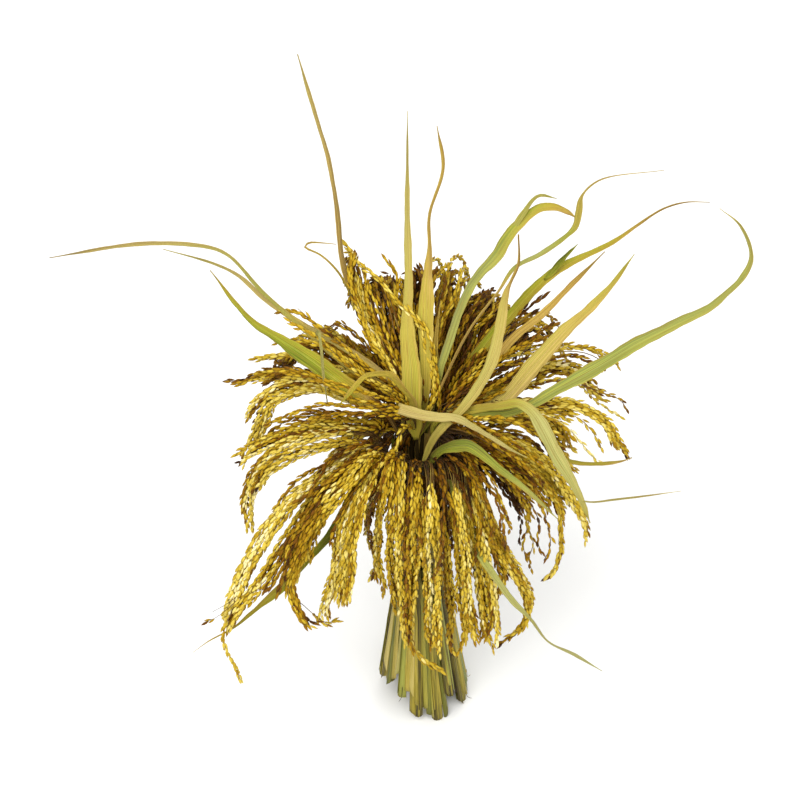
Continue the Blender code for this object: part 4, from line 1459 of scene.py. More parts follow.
    def hang_grain(
        self, pile: Pile, branch: Branch, shape: Triangles
    ) -> int:
        """Hangs grain all round a branch, pressed along it.

        Args:
            pile: What the grains are added to.
            branch: The branch.
            shape: A grain's vertices, triangles and UVs.

        Returns:
            The number of grains.
        """
        chance, line = self.chance, branch.points
        ahead = unit(np.gradient(line, axis=0))
        spots = np.arange(branch.bare, len(line) - 2, self.grain_gap * branch.sparse)
        spots = np.clip(np.round(spots + chance.uniform(-0.7, 0.7, len(spots))).astype(int), 0, len(line) - 1)
        count = len(spots)
        forward = ahead[spots]
        level = unit(np.cross(forward, (0.21, 0.13, 0.97)))
        upright = np.cross(level, forward)
        turns = chance.uniform(0, TURN) + np.arange(count) * math.radians(self.grain_turn)
        turns = turns + chance.normal(0, 0.35, count)
        out = level * np.cos(turns)[:, None] + upright * np.sin(turns)[:, None]
        lean = np.radians(self.grain_lean + chance.normal(0, self.lean_spread, count))[:, None]
        long_way = forward * np.cos(lean) + out * np.sin(lean)
        flat = np.cross(forward, out)
        edge = np.cross(long_way, flat)
        roll = chance.normal(0, 0.5, count)[:, None]
        wide_way = flat * np.cos(roll) + edge * np.sin(roll)
        thin_way = edge * np.cos(roll) - flat * np.sin(roll)
        points, faces, maps = shape
        size = chance.uniform(0.9, 1.08, count)[:, None, None]
        turned = (
            points[None, :, 0:1] * wide_way[:, None, :]
            + points[None, :, 1:2] * thin_way[:, None, :]
            + points[None, :, 2:3] * long_way[:, None, :]
        ) * size
        placed = turned + (line[spots] + out * self.grain_out)[:, None, :]
        numbers = (faces[None] + (np.arange(count) * len(points))[:, None, None]).reshape(-1, 3)
        # Grain near the neck is darker, fading out over the neck reach: painted shade in the hollow where the
        # ears meet
        painted_shade = self.painted_shade_at_neck * (1 - np.clip(spots / self.neck_reach, 0, 1)) ** 1.5
        tones = np.clip(self.plan.ripe + branch.tone - painted_shade + chance.normal(0, 0.11, count), 0, 1)
        shades = np.repeat(tones, len(points))
        pile.add(placed.reshape(-1, 3), numbers, np.tile(maps, (count, 1, 1)), shades, slot=0)
        return count

    def draw_branch(self, pile: Pile, line: Array, radius: float, shade: float) -> None:
        """Adds a branch's own thin stalk to the pile. Its shade runs from 0, brown, to 1, straw.

        Args:
            pile: What it is added to.
            line: The branch's points.
            radius: Its radius at the start.
            shade: Its shade.
        """
        path = Line([Vector(point) for point in line[::3]], step=5.0)
        rows = max(4, round(path.length / 8))
        points, faces, maps = as_triangles(tube(path, rows, 3, lambda along: radius * (1 - 0.5 * along)))
        # Each branch's stalk darkens towards its start: painted shade at the neck
        gone = np.linalg.norm(points / MM - line[0], axis=1)
        pile.add(points / MM, faces, maps, shade * np.clip(0.15 + gone / 90, 0, 1), slot=1)

    def build(self) -> Object:
        """Builds the ear as one piece, in place of its solid.

        Returns:
            The piece.
        """
        pile, shape, total = Pile(), self.grain.shape(), 0
        # Where every branch is in a lock, the axis ends among their starts
        drawn = 0.75 if self.plan.branches else 0.3
        axis = self.axis.points[: round(len(self.axis.points) * drawn)]
        self.draw_branch(pile, axis, self.axis_radius, 0.3)
        branches = self.long_branches() + self.locked_branches()
        branches += self.short_branches() + self.stray_branches()
        for branch in branches:
            thick = self.branch_radius * (1.7 if branch.sparse > 1.5 else 1.0)
            self.draw_branch(pile, branch.points, thick, float(np.clip(0.55 + 1.8 * branch.tone, 0, 1)))
            total += self.hang_grain(pile, branch, shape)
        name = f"ear_{self.index + 1:02d}"
        LOG.info("%s: %d grains", name, total)
        return add_piece(f"grain_{name}", pile.mesh(name), [HUSK, BRANCH], slot="ear", replaced=[name])


# ---- stems


@dataclass
class Stem:
    """A rice stem, hollow at the cut, with the strips of its split leaf sheaths round it, and the dry bases
    of its leaves at the top."""

    bunch: Bunch
    index: int
    culm: float = 0.76
    top_culm: float = 0.94
    rows: int = 36
    joint_height: float = 96.0
    joint_swell: float = 1.1
    joint_reach: float = 3.2
    pit: float = 9.0
    pit_wall: float = 0.38
    strips: int = 3
    strip_half_angle: float = 66.0
    strip_wall: float = 0.3
    leaf_wall: float = 0.25
    ribs: int = 10
    rib_depth: float = 0.05
    # How high the outer stems are cut, by azimuth; the inner ones are cut at a part of it
    cuts: Stops = (
        (-160, 0), (-135, 4), (-109, 14), (-83, 26), (-58, 34), (-32, 26), (-6, 8),
        (20, 2), (45, 22), (71, 1), (97, 6), (122, 0),
    )
    inner_cut: float = 0.35
    # How pale a strip of sheath may be, and how grey-green
    strip_shades: tuple[float, ...] = (0.05, 0.2, 0.4, 0.6, 0.88)
    strip_blooms: tuple[float, ...] = (0.0, 0.0, 0.35, 0.75)
    dry_shades: tuple[float, ...] = (0.35, 0.8, 0.9, 0.97)

    def __post_init__(self) -> None:
        """Gives the stem its own shade, and the height that it is cut at."""
        self.plan = EARS[self.index]
        azimuth = (self.bunch.waist_azimuths[self.index] + 180) % 360 - 180
        part = {Row.CENTRE: 0.0, Row.INNER: self.inner_cut, Row.OUTER: 1.0}[self.plan.row]
        self.cut = part * between(self.cuts, azimuth)
        self.chance = random.Random(300 + self.index)
        self.shade = self.chance.uniform(0.1, 0.4)

    def radius(self, height: float) -> float:
        """The stalk's outer radius at a height.

        Args:
            height: The height.

        Returns:
            The radius.
        """
        _, diameter = self.bunch.stalk_at(self.index, height)
        away = (height - self.joint_height) / self.joint_reach
        return diameter / 2 * (1 + (self.joint_swell - 1) * math.exp(-(away**2)))

    def stem(self) -> Shape:
        """The stem itself, ribbed, with a hollow end. It darkens where it goes in among the ears, as painted
        shade.

        Returns:
            The shape, in metres.
        """
        top = self.plan.row.value.top

        def place(across: float, along: float) -> Vector:
            """A place on the stem's wall, which is without its sheaths towards the top.

            Args:
                across: From -1 to 1.
                along: From 0 to 1.

            Returns:
                The place.
            """
            height = self.cut + along * (top - self.cut)
            middle, _ = self.bunch.stalk_at(self.index, height)
            ripple = 1 + self.rib_depth * math.cos(self.ribs * math.pi * across)
            share = self.culm + (self.top_culm - self.culm) * smoothstep((height - 180) / 60)
            return middle + polar(180 * across, self.radius(height) * share * ripple, 0.0)

        def shade(across: float, along: float) -> float:
            """The shade there."""
            # Darker towards the top, where the stem goes in among the ears: painted shade
            return self.shade + 0.15 * along - 0.9 * smoothstep((along * top - 225) / 50)

        shape = bent_sheet(2 * self.ribs, self.rows, place, shade)
        foot = min(close_tube(shape), key=lambda face: face.calc_center_median().z)
        foot.material_index = 1
        wall = self.pit_wall * self.radius(0.0) * MM
        bmesh.ops.inset_region(shape, faces=[foot], thickness=wall, use_even_offset=True)
        grown = bmesh.ops.extrude_face_region(shape, geom=[foot])["geom"]
        bmesh.ops.delete(shape, geom=[foot], context="FACES_ONLY")
        pit = [item for item in grown if isinstance(item, bmesh.types.BMVert)]
        bmesh.ops.translate(shape, verts=pit, vec=(0.0, 0.0, self.pit * MM))
        return shape

    def strip_look(self) -> tuple[float, float]:
        """How pale a strip of sheath is, and how grey-green."""
        shade = self.chance.choice(self.strip_shades) + self.chance.uniform(-0.08, 0.08)
        return shade, self.chance.choice(self.strip_blooms)

    def strip(self, azimuth: float, lift: float) -> Shape:
        """A strip of a split leaf sheath along the stem, cut at a slant at the foot.

        Args:
            azimuth: The side of the stem that it lies on.
            lift: How far it stands off the stem.

        Returns:
            The strip, with its wall's thickness.
        """
        chance = self.chance
        bottom, top = chance.choice((0.5, 2.0, 8.0, 15.0)) + chance.uniform(0, 3), chance.uniform(150, 245)
        bottom += self.cut
        slant, turn, curl = chance.uniform(-6, 6), chance.uniform(-35, 35), chance.uniform(0.2, 1.4)
        shade, bloom = self.strip_look()

        def place(across: float, along: float) -> Vector:
            """A place on the strip, one edge of which curls away from the stem.

            Args:
                across: From -1 to 1.
                along: From 0 to 1.

            Returns:
                The place.
            """
            height = max(0.3, bottom + slant * across * (1 - along) + (top - bottom) * along)
            middle, _ = self.bunch.stalk_at(self.index, height)
            narrowing = 1 - 0.9 * smoothstep((along - 0.7) / 0.3)
            out = self.radius(height) * (self.culm + self.rib_depth + 0.02) + lift + curl * across**3
            turned = azimuth + turn * along + self.strip_half_angle * across * narrowing
            return middle + polar(turned, out, 0.0)

        shape = bent_sheet(8, 20, place, lambda across, along: shade + 0.12 * across, ((0.0, bloom),))
        return walled(shape, self.strip_wall)

    def loose_strip(self, side: float) -> Shape:
        """A loose strip of sheath on the outside of the bunch, which fills the space beside its stem.

        Args:
            side: How far to the side of its stem it lies, in degrees round the bunch.

        Returns:
            The strip, with its wall's thickness.
        """
        chance = self.chance
        bottom, top = chance.choice((0.5, 6.0, 14.0, 22.0)) + chance.uniform(0, 4), chance.uniform(110, 190)
        bottom += self.cut
        width, slant, fold = chance.uniform(5.0, 8.5), chance.uniform(-8, 8), chance.uniform(-2.6, 0.4)
        sunk, drift = chance.uniform(0.55, 1.0), chance.uniform(-5, 5)
        shade, bloom = self.strip_look()

        def place(across: float, along: float) -> Vector:
            """A place on the strip, which is folded along its middle.

            Args:
                across: From -1 to 1.
                along: From 0 to 1.

            Returns:
                The place.
            """
            height = max(0.3, bottom + slant * across * (1 - along) + (top - bottom) * along)
            middle, diameter = self.bunch.stalk_at(self.index, height)
            half = width / 2 * (1 - 0.5 * along) * (1 - 0.8 * smoothstep((along - 0.8) / 0.2))
            out = middle.xy.length + diameter / 2 * sunk - 0.5 * abs(fold) + fold * across * across
            azimuth = azimuth_of(middle) + math.degrees(half * across / out)
            return polar(azimuth + (side + drift * along) * (1 - 0.4 * along), out, height)

        shape = bent_sheet(6, 20, place, lambda across, along: shade + 0.15 * across, ((0.0, bloom),))
        return walled(shape, self.strip_wall)

    def fibre(self) -> Shape:
        """A frayed fibre of sheath at the foot, which bends outwards.

        Returns:
            The fibre, in metres.
        """
        chance = self.chance
        middle, diameter = self.bunch.stalk_at(self.index, self.cut + 2.0)
        azimuth = azimuth_of(middle) + chance.uniform(-8, 8)
        out, height = middle.xy.length + diameter * 0.42, self.cut + chance.uniform(2, 7)
        turn, reach = chance.uniform(-7, 7), chance.uniform(4, 11)
        places = [
            polar(azimuth, out - 0.6, height + 9),
            polar(azimuth, out + 0.4, height),
            polar(azimuth + 0.4 * turn, out + 0.35 * reach, self.cut + 1.0),
            polar(azimuth + turn, out + reach, self.cut + 0.6),
        ]
        line = Line(smooth_curve(places))
        return tube(line, 12, 4, lambda along: 0.38 * (1 - 0.6 * along), self.strip_look()[0])

    def dry_leaf(self, side: float) -> Shape:
        """The dry base of a leaf, which stands up round the neck of the bunch, taller at the back.

        Args:
            side: How far to the side of its stem it lies, in degrees round the bunch.

        Returns:
            The leaf, with its thickness.
        """
        chance, row = self.chance, self.plan.row.value
        behind = (1 - math.cos(math.radians(self.plan.start))) / 2
        bottom = self.bunch.waist_height + chance.uniform(9, 18)
        top = row.top + chance.uniform(-22, 4) + behind * chance.uniform(10, 46)
        width, lean = chance.uniform(5.5, 9.0), chance.uniform(0.2, 0.6)
        shade, twist = chance.choice(self.dry_shades), chance.uniform(-0.5, 0.5)

        def place(across: float, along: float) -> Vector:
            """A place on the leaf, which opens, leans out past the stem's top and ends in a point.

            Args:
                across: From -1 to 1.
                along: From 0 to 1.

            Returns:
                The place.
            """
            height = bottom + (top - bottom) * along
            middle, diameter = self.bunch.stalk_at(self.index, min(height, row.top))
            out = middle.xy.length + diameter / 2 + 0.7 + lean * max(0.0, height - row.top + 10)
            opened = 0.35 + 0.65 * smoothstep(along * 2.2)
            half = width / 2 * opened * (1 - 0.92 * smoothstep((along - 0.6) / 0.4))
            turned = math.degrees(half * across / out) + side * smoothstep(along * 1.6)
            azimuth = azimuth_of(middle) + turned
            return polar(azimuth, out + half * (0.5 * abs(across) + twist * across), height)

        shape = walled(bent_sheet(6, 14, place, lambda across, along: shade), self.leaf_wall)
        for face in shape.faces:
            face.material_index = 2
        return shape

    def build(self) -> Object:
        """Builds the stem with its sheaths and dry leaves as one piece, in place of its solid.

        Returns:
            The piece.
        """
        first = self.chance.uniform(0, 360)
        shapes = [self.stem()]
        for rank in range(self.strips):
            azimuth = first + 360 / self.strips * rank + self.chance.uniform(-18, 18)
            shapes.append(self.strip(azimuth, 0.32 * (rank % 2)))
        if self.plan.row is not Row.CENTRE:
            shapes += [self.dry_leaf(side) for side in (-8.0, 8.0)]
        if self.plan.row is Row.OUTER:
            shapes += [self.loose_strip(side) for side in (12.9, self.chance.uniform(-7, 7), -9.0)]
            shapes += [self.fibre() for _ in range(self.chance.choice((0, 0, 1)))]
        name = f"stalk_{self.index + 1:02d}"
        mesh = finished_mesh(name, shapes, self.index * 3.7)
        return add_piece(f"sheathed_{name}", mesh, [STEM, PITH, BLADE], slot="stalk", replaced=[name])


# ---- leaves


@dataclass(frozen=True)
class BladePlan:
    """A leaf blade: its name, the stalk, height and side that it leaves, or none where it only rests on
    others, the places that it passes as the eye sees them, and its width, turn and ripeness along it.
    A turn of 0 faces the eye. Ripeness runs from 0, green, through straw to 1, brown, and edge is how much
    riper one edge is than the middle. Bloom is a grey-green tinge. A thin one has no solid of its own."""

    name: str
    root: tuple[int, float, float] | None
    places: tuple[Triple, ...]
    widths: Stops
    turns: Stops
    ripeness: Stops
    fold: float = 0.16
    dry: bool = False
    thin: bool = False
    edge: float = 0.0
    bloom: Stops = ((0.0, 0.0),)


BLADES = (
    BladePlan("tall_back", (1, 306, 30),
        ((-30, 80, 46), (-44, 95, 56), (-56, 117, 62), (-63, 140, 66), (-66, 172, 84), (-73, 216, 108),
         (-86, 261, 124), (-99, 304, 138)),
        ((0, 2.4), (0.18, 3), (0.3, 5.6), (0.42, 6.4), (0.52, 5.2), (0.7, 4.4), (0.9, 4), (1, 1)),
        ((0, 20), (1, 40)), ((0, 0.96), (0.4, 0.92), (0.7, 0.84), (1, 0.72)), 0.3, dry=True, edge=0.1,
        bloom=((0, 0), (0.4, 0.1), (1, 0.35))),
    BladePlan("far_left", (2, 304, 20),
        ((-20, 27, 6), (-58, 52, 2), (-96, 84, 14), (-126, 110, 26), (-158, 143, 38), (-188, 150, 48),
         (-232, 150, 56), (-300, 139, 62)),
        ((0, 2.4), (0.12, 5), (0.25, 7), (0.36, 6.4), (0.48, 3.6), (0.6, 3.2), (0.72, 4.4), (0.86, 4),
         (1, 0.8)),
        ((0, 10), (0.4, 30), (1, 50)), ((0, 0.66), (0.35, 0.56), (0.5, 0.36), (0.62, 0.55), (0.8, 0.76),
        (1, 0.84)), dry=True, edge=0.1, bloom=((0, 0), (0.35, 0.2), (0.6, 0.35), (1, 0.3))),
    BladePlan("left_upper", (1, 306, -20),
        ((-22, 38, 8), (-64, 68, 22), (-96, 86, 46), (-124, 104, 64), (-146, 124, 80), (-166, 134, 90),
         (-208, 146, 98)),
        ((0, 2.4), (0.2, 4.4), (0.4, 6), (0.55, 4.6), (0.72, 4), (0.85, 2.4), (1, 0.6)),
        ((0, 10), (1, 30)), ((0, 0.8), (0.4, 0.7), (0.7, 0.74), (1, 0.5)), edge=0.1, bloom=((0, 0),
        (0.35, 0.3), (1, 0.4))),
    BladePlan("left_green", (2, 296, 0),
        ((-32, 18, -10), (-60, 35, -8), (-85, 54, -4), (-115, 74, 2), (-135, 87, 8), (-149, 102, 12),
         (-162, 119, 22), (-170, 129, 28)),
        ((0, 2.4), (0.2, 4), (0.32, 13), (0.42, 17), (0.58, 14), (0.72, 6.6), (0.86, 5), (1, 1)),
        ((0, 0), (0.6, 10), (1, 50)), ((0, 1), (0.24, 0.98), (0.36, 0.5), (0.46, 0.3), (0.6, 0.22),
        (0.8, 0.3), (1, 0.6)), 0.2, edge=0.14),
    BladePlan("broad", (0, 306, 0),
        ((-6, 20, 2), (-7, 48, 12), (-10, 81, 28), (-9, 121, 50), (-10, 168, 74), (-10, 220, 96),
         (-10, 258, 112)),
        ((0, 5), (0.06, 13), (0.12, 16.6), (0.24, 16.6), (0.34, 12.5), (0.46, 7.8), (0.6, 6.4), (0.75, 4.2),
         (0.88, 2), (1, 0.5)),
        ((0, 0), (1, 20)), ((0, 0.5), (0.25, 0.5), (0.5, 0.56), (1, 0.62)), 0.1, edge=0.05, bloom=((0, 0),
        (0.3, 0.1), (0.7, 0.4))),
    BladePlan("kinked", (7, 304, 0),
        ((5, 40, 14), (5, 72, 26), (6, 113, 50), (8, 146, 74), (8, 174, 88), (19, 211, 108), (14, 246, 122)),
        ((0, 2.4), (0.2, 9), (0.42, 14), (0.55, 8), (0.64, 3), (0.8, 2.8), (0.92, 3.4), (1, 0.6)),
        ((0, 10), (1, 30)), ((0, 0.5), (0.4, 0.52), (0.6, 0.8), (1, 0.7)), dry=True, edge=0.08,
        bloom=((0, 0), (0.5, 0.1), (0.7, 0))),
    BladePlan("folded_over", (7, 300, 80),
        ((17, 50, 16), (21, 62, 22), (31, 92, 38), (41, 115, 52), (50, 127, 62), (62, 140, 71),
         (72, 156, 78), (81, 167, 83), (95, 178, 89), (108, 180, 92), (120, 176, 95), (127, 171, 96)),
        ((0, 2.4), (0.15, 6), (0.4, 7.2), (0.56, 7.8), (0.66, 11), (0.76, 9.4), (0.87, 8), (0.95, 5),
         (1, 1)),
        ((0, 10), (0.6, 20), (1, 20)), ((0, 0.12), (0.3, 0.17), (0.56, 0.2), (0.68, 0.3), (0.82, 0.42),
        (1, 0.74)), edge=0.12, bloom=((0, 0), (0.4, 0.36), (0.6, 0.3), (0.75, 0.12), (1, 0))),
    BladePlan("zigzag", (0, 310, 90),
        ((40, 80, 18), (64, 112, 30), (77, 131, 38), (98, 142, 42), (118, 156, 45), (126, 164, 46),
         (129, 176, 46), (132, 190, 46), (146, 202, 50), (198, 210, 56)),
        ((0, 2.4), (0.42, 2), (0.5, 3.2), (0.58, 4.4), (0.66, 3.8), (0.7, 5.8), (0.75, 5.4), (0.8, 1.8),
         (0.9, 0.8), (1, 0.4)),
        ((0, 10), (1, 20)), ((0, 0.9), (0.44, 0.8), (0.52, 0.3), (0.66, 0.3), (0.72, 0.5), (0.85, 0.74),
        (1, 0.7)), dry=True, edge=0.08, bloom=((0, 0), (0.44, 0.1), (0.56, 0.45), (0.68, 0.15), (0.9, 0.2))),
    BladePlan("crossing", (14, 294, -150),
        ((5, -21, -22), (11, -8, -23), (19, 2, -24), (30, 12, -20), (46, 32, -12), (58, 54, -5), (64, 76, 6),
         (70, 110, 18), (74, 120, 21), (80, 134, 26), (80, 158, 34)),
        ((0, 2.4), (0.12, 6.5), (0.24, 7), (0.34, 7.8), (0.46, 9.2), (0.55, 9.8), (0.64, 9.6), (0.76, 6.4),
         (0.83, 2.6), (1, 1.4)),
        ((0, 0), (1, 20)), ((0, 0.52), (0.5, 0.56), (0.74, 0.62), (0.84, 0.84), (1, 0.85)), edge=0.08,
        bloom=((0, 0.15), (0.5, 0.35), (0.75, 0.25), (0.85, 0))),
    BladePlan("right_long", (0, 304, 150),
        ((34, 42, 38), (42, 54, 44), (59, 76, 48), (77, 96, 50), (102, 122, 48), (124, 136, 54),
         (154, 150, 60), (176, 165, 65), (198, 179, 69), (216, 184, 72), (235, 184, 74)),
        ((0, 2.4), (0.15, 7), (0.25, 9.4), (0.5, 9.4), (0.6, 7.6), (0.7, 5), (0.8, 2.8), (0.88, 1.8),
         (1, 0.5)),
        ((0, 10), (1, 30)), ((0, 0.34), (0.3, 0.36), (0.55, 0.4), (0.7, 0.46), (0.85, 0.8), (1, 0.85)),
        edge=0.1),
    BladePlan("right_tan", (6, 304, -70),
        ((24, 14, 2), (48, 16, -6), (66, 22, -2), (91, 50, 8), (116, 78, 22), (141, 101, 32), (154, 115, 38),
         (174, 142, 52)),
        ((0, 3), (0.2, 8), (0.36, 13), (0.5, 14.4), (0.64, 11), (0.76, 7.5), (0.9, 4), (1, 0.6)),
        ((0, 10), (1, 10)), ((0, 0.62), (0.38, 0.68), (0.5, 0.64), (0.7, 0.62), (0.85, 0.54), (1, 0.42)),
        0.26, dry=True, edge=0.1, bloom=((0, 0.1), (0.4, 0.25), (1, 0.1))),
    BladePlan("looping", (5, 300, -100),
        ((12, 6, 0), (24, 12, -4), (44, 13, -18), (72, 13, -32), (90, 20, -24), (111, 32, -12),
         (144, 50, -2), (176, 69, 4), (208, 85, 8), (236, 99, 10), (248, 109, 12), (261, 122, 15),
         (269, 139, 18), (260, 165, 26), (243, 179, 32)),
        ((0, 2.4), (0.12, 5), (0.22, 5.6), (0.29, 6.4), (0.35, 9), (0.46, 12.4), (0.56, 11.2), (0.66, 9.6),
         (0.74, 6.8), (0.82, 5.4), (0.9, 3.4), (1, 0.5)),
        ((0, 0), (1, 40)), ((0, 0.2), (0.3, 0.18), (0.5, 0.2), (0.65, 0.24), (0.8, 0.3), (0.9, 0.44),
        (1, 0.6)), 0.24, edge=0.06, bloom=((0, 0), (0.45, 0.22), (1, 0.38))),
    BladePlan("right_drooping", (4, 304, -110),
        ((11, 3, -4), (21, 10, -8), (34, 14, -12), (50, 17, -20), (65, 19, -32), (80, 21, -40),
         (90, 15, -45), (100, 0, -50), (110, -20, -55), (122, -40, -60), (132, -60, -66), (138, -76, -70)),
        ((0, 2.4), (0.15, 5), (0.3, 7), (0.46, 7.4), (0.52, 9.4), (0.6, 12.4), (0.7, 12.6), (0.82, 9),
         (0.93, 4.6), (1, 0.8)),
        ((0, 0), (1, 20)), ((0, 0.4), (0.35, 0.52), (0.5, 0.44), (0.7, 0.36), (1, 0.5)), edge=-0.08,
        bloom=((0, 0), (0.44, 0.1), (0.58, 0.6), (0.85, 0.5), (1, 0.2))),
    BladePlan("front_green", (14, 290, 150),
        ((16, -18, -34), (28, -14, -44), (40, -14, -52), (51, -21, -62), (64, -32, -74), (85, -48, -96),
         (112, -73, -106)),
        ((0, 2.4), (0.2, 7), (0.34, 10.6), (0.46, 9.6), (0.62, 6.6), (0.85, 4.4), (1, 0.8)),
        ((0, 10), (1, 40)), ((0, 0.2), (0.4, 0.14), (0.6, 0.22), (1, 0.42)), edge=0.1, bloom=((0, 0),
        (0.5, 0.08), (1, 0.4))),
    BladePlan("torn", None,
        ((-18, 17, -14), (0, 12, -20), (16, 10, -23), (29, 9, -26), (40, 4, -35), (60, -8, -54),
         (75, -17, -64), (87, -23, -72)),
        ((0, 9.8), (0.28, 8), (0.4, 6.8), (0.53, 5), (0.75, 3.6), (1, 0.8)),
        ((0, 0), (1, 10)), ((0, 0.78), (0.2, 0.72), (0.6, 0.68), (1, 0.66)), dry=True, edge=0.1,
        bloom=((0, 0.4), (0.5, 0.5), (1, 0.5))),
    BladePlan("folded_back", (0, 306, -90),
        ((-5, 21, -6), (-14, 34, -12), (-22, 43, -18), (-25, 45, -19), (-38, 45, -25), (-43, 44, -27),
         (-47, 41, -28), (-55, 32, -32), (-65, 20, -34)),
        ((0, 3), (0.3, 6.2), (0.42, 4.6), (0.5, 6), (0.62, 6), (0.7, 4.4), (0.88, 4), (1, 1)),
        ((0, -10), (0.5, 30), (1, 10)), ((0, 0.5), (0.3, 0.58), (0.5, 0.6), (1, 0.5)), 0.2, dry=True,
        thin=True, edge=0.12),
    BladePlan("hanging_thin", None,
        ((-84, 76, 0), (-82, 80, -6), (-80, 66, -12), (-78, 44, -14), (-75, 22, -16)),
        ((0, 2), (0.15, 2.6), (0.6, 2.4), (1, 1)),
        ((0, 0), (1, 30)), ((0, 0.42), (1, 0.5)), 0.1, dry=True, thin=True, bloom=((0, 0.5),)),
    BladePlan("pale_narrow", (7, 304, -40),
        ((10, 20, 8), (14, 52, 20), (13, 66, 26), (14, 82, 34), (17, 104, 48)),
        ((0, 2.4), (0.3, 4.4), (0.7, 4), (1, 0.8)),
        ((0, 10), (1, 30)), ((0, 0.7), (0.5, 0.62), (1, 0.7)), 0.3, dry=True, thin=True),
    BladePlan("pinkish", (6, 304, -20),
        ((28, 16, 2), (52, 42, 14), (66, 62, 22), (77, 75, 27), (98, 92, 38), (122, 116, 52), (136, 130, 60),
         (150, 144, 68)),
        ((0, 2.4), (0.3, 5), (0.45, 7.6), (0.6, 6.8), (0.8, 5), (1, 0.8)),
        ((0, 10), (1, 20)), ((0, 0.7), (0.5, 0.77), (1, 0.8)), 0.2, dry=True, thin=True),
    BladePlan("spike", None,
        ((101, 121, 47), (107, 127, 48), (117, 139, 50), (128, 150, 52)),
        ((0, 2), (0.2, 5), (0.45, 5.4), (0.75, 3), (1, 0.5)),
        ((0, 10), (1, 20)), ((0, 0.3), (0.5, 0.14), (1, 0.2)), 0.2, thin=True, edge=0.1),
    BladePlan("second_tip", None,
        ((66, 145, 76), (84, 175, 86), (96, 189, 92), (111, 187, 94)),
        ((0, 3), (0.4, 5), (0.8, 3.4), (1, 0.5)),
        ((0, 10), (1, 30)), ((0, 0.3), (1, 0.42)), 0.2, thin=True, bloom=((0, 0.3),)),
    BladePlan("low_right", (16, 290, 50),
        ((26, -48, -46), (32, -76, -66), (50, -104, -84), (64, -124, -92), (76, -140, -96), (90, -154, -98),
         (104, -172, -100), (124, -182, -100), (148, -196, -98)),
        ((0, 2.4), (0.24, 5), (0.42, 6), (0.56, 5), (0.65, 2.6), (0.76, 1.6), (0.88, 3), (1, 0.5)),
        ((0, 0), (1, 20)), ((0, 0.3), (0.3, 0.22), (0.5, 0.3), (0.76, 0.45), (1, 0.4)), 0.16, thin=True,
        bloom=((0, 0.1), (0.3, 0.25), (0.5, 0.55), (1, 0.75))),
    BladePlan("thin_right", None,
        ((131, -58, -65), (140, -59, -66), (158, -57, -65), (183, -54, -63), (212, -50, -60)),
        ((0, 1.4), (0.5, 1.8), (1, 0.4)),
        ((0, 10), (1, 20)), ((0, 0.5), (1, 0.7)), 0.2, dry=True, thin=True, bloom=((0, 0.4),)),
    BladePlan("low_left", (12, 292, -60),
        ((-34, -33, -22), (-51, -50, -26), (-62, -68, -36), (-69, -80, -44), (-78, -92, -54),
         (-92, -106, -65), (-106, -121, -76), (-114, -130, -84), (-126, -140, -90), (-139, -151, -96),
         (-151, -161, -102), (-170, -171, -107), (-184, -181, -110)),
        ((0, 2.4), (0.15, 4), (0.24, 7.6), (0.34, 7.6), (0.44, 6), (0.54, 8.4), (0.64, 7.4), (0.74, 3.4),
         (0.84, 1.6), (1, 0.4)),
        ((0, 0), (0.4, 0), (0.6, 10), (1, 20)), ((0, 0.1), (0.36, 0.1), (0.5, 0.38), (0.75, 0.46), (1, 0.7)),
        0.16, thin=True, edge=0.08),
    BladePlan("bent_tip", None,
        ((-54, 104, 56), (-65, 126, 66), (-80, 141, 72), (-93, 148, 76), (-90, 151, 77), (-78, 151, 79),
         (-68, 150, 80)),
        ((0, 1.2), (0.3, 2), (0.6, 1.6), (0.68, 2), (1, 0.6)),
        ((0, 20), (1, 20)), ((0, 0.6), (1, 0.74)), 0.2, thin=True),
    BladePlan("fine_tip", None,
        ((-64, 68, 22), (-78, 80, 23), (-90, 90, 24), (-99, 98, 26)),
        ((0, 1.2), (0.4, 1.6), (1, 0.4)),
        ((0, 20), (1, 20)), ((0, 0.9), (1, 0.95)), 0.2, dry=True, thin=True),
    BladePlan("low_across", None,
        ((110, -21, -55), (126, -27, -42), (146, -28, -26), (163, -26, -10), (172, -23, 0)),
        ((0, 2), (0.3, 3.6), (0.7, 3.2), (1, 0.8)),
        ((0, 10), (1, 20)), ((0, 0.45), (0.5, 0.5), (1, 0.75)), 0.2, dry=True, thin=True, edge=0.1),
)


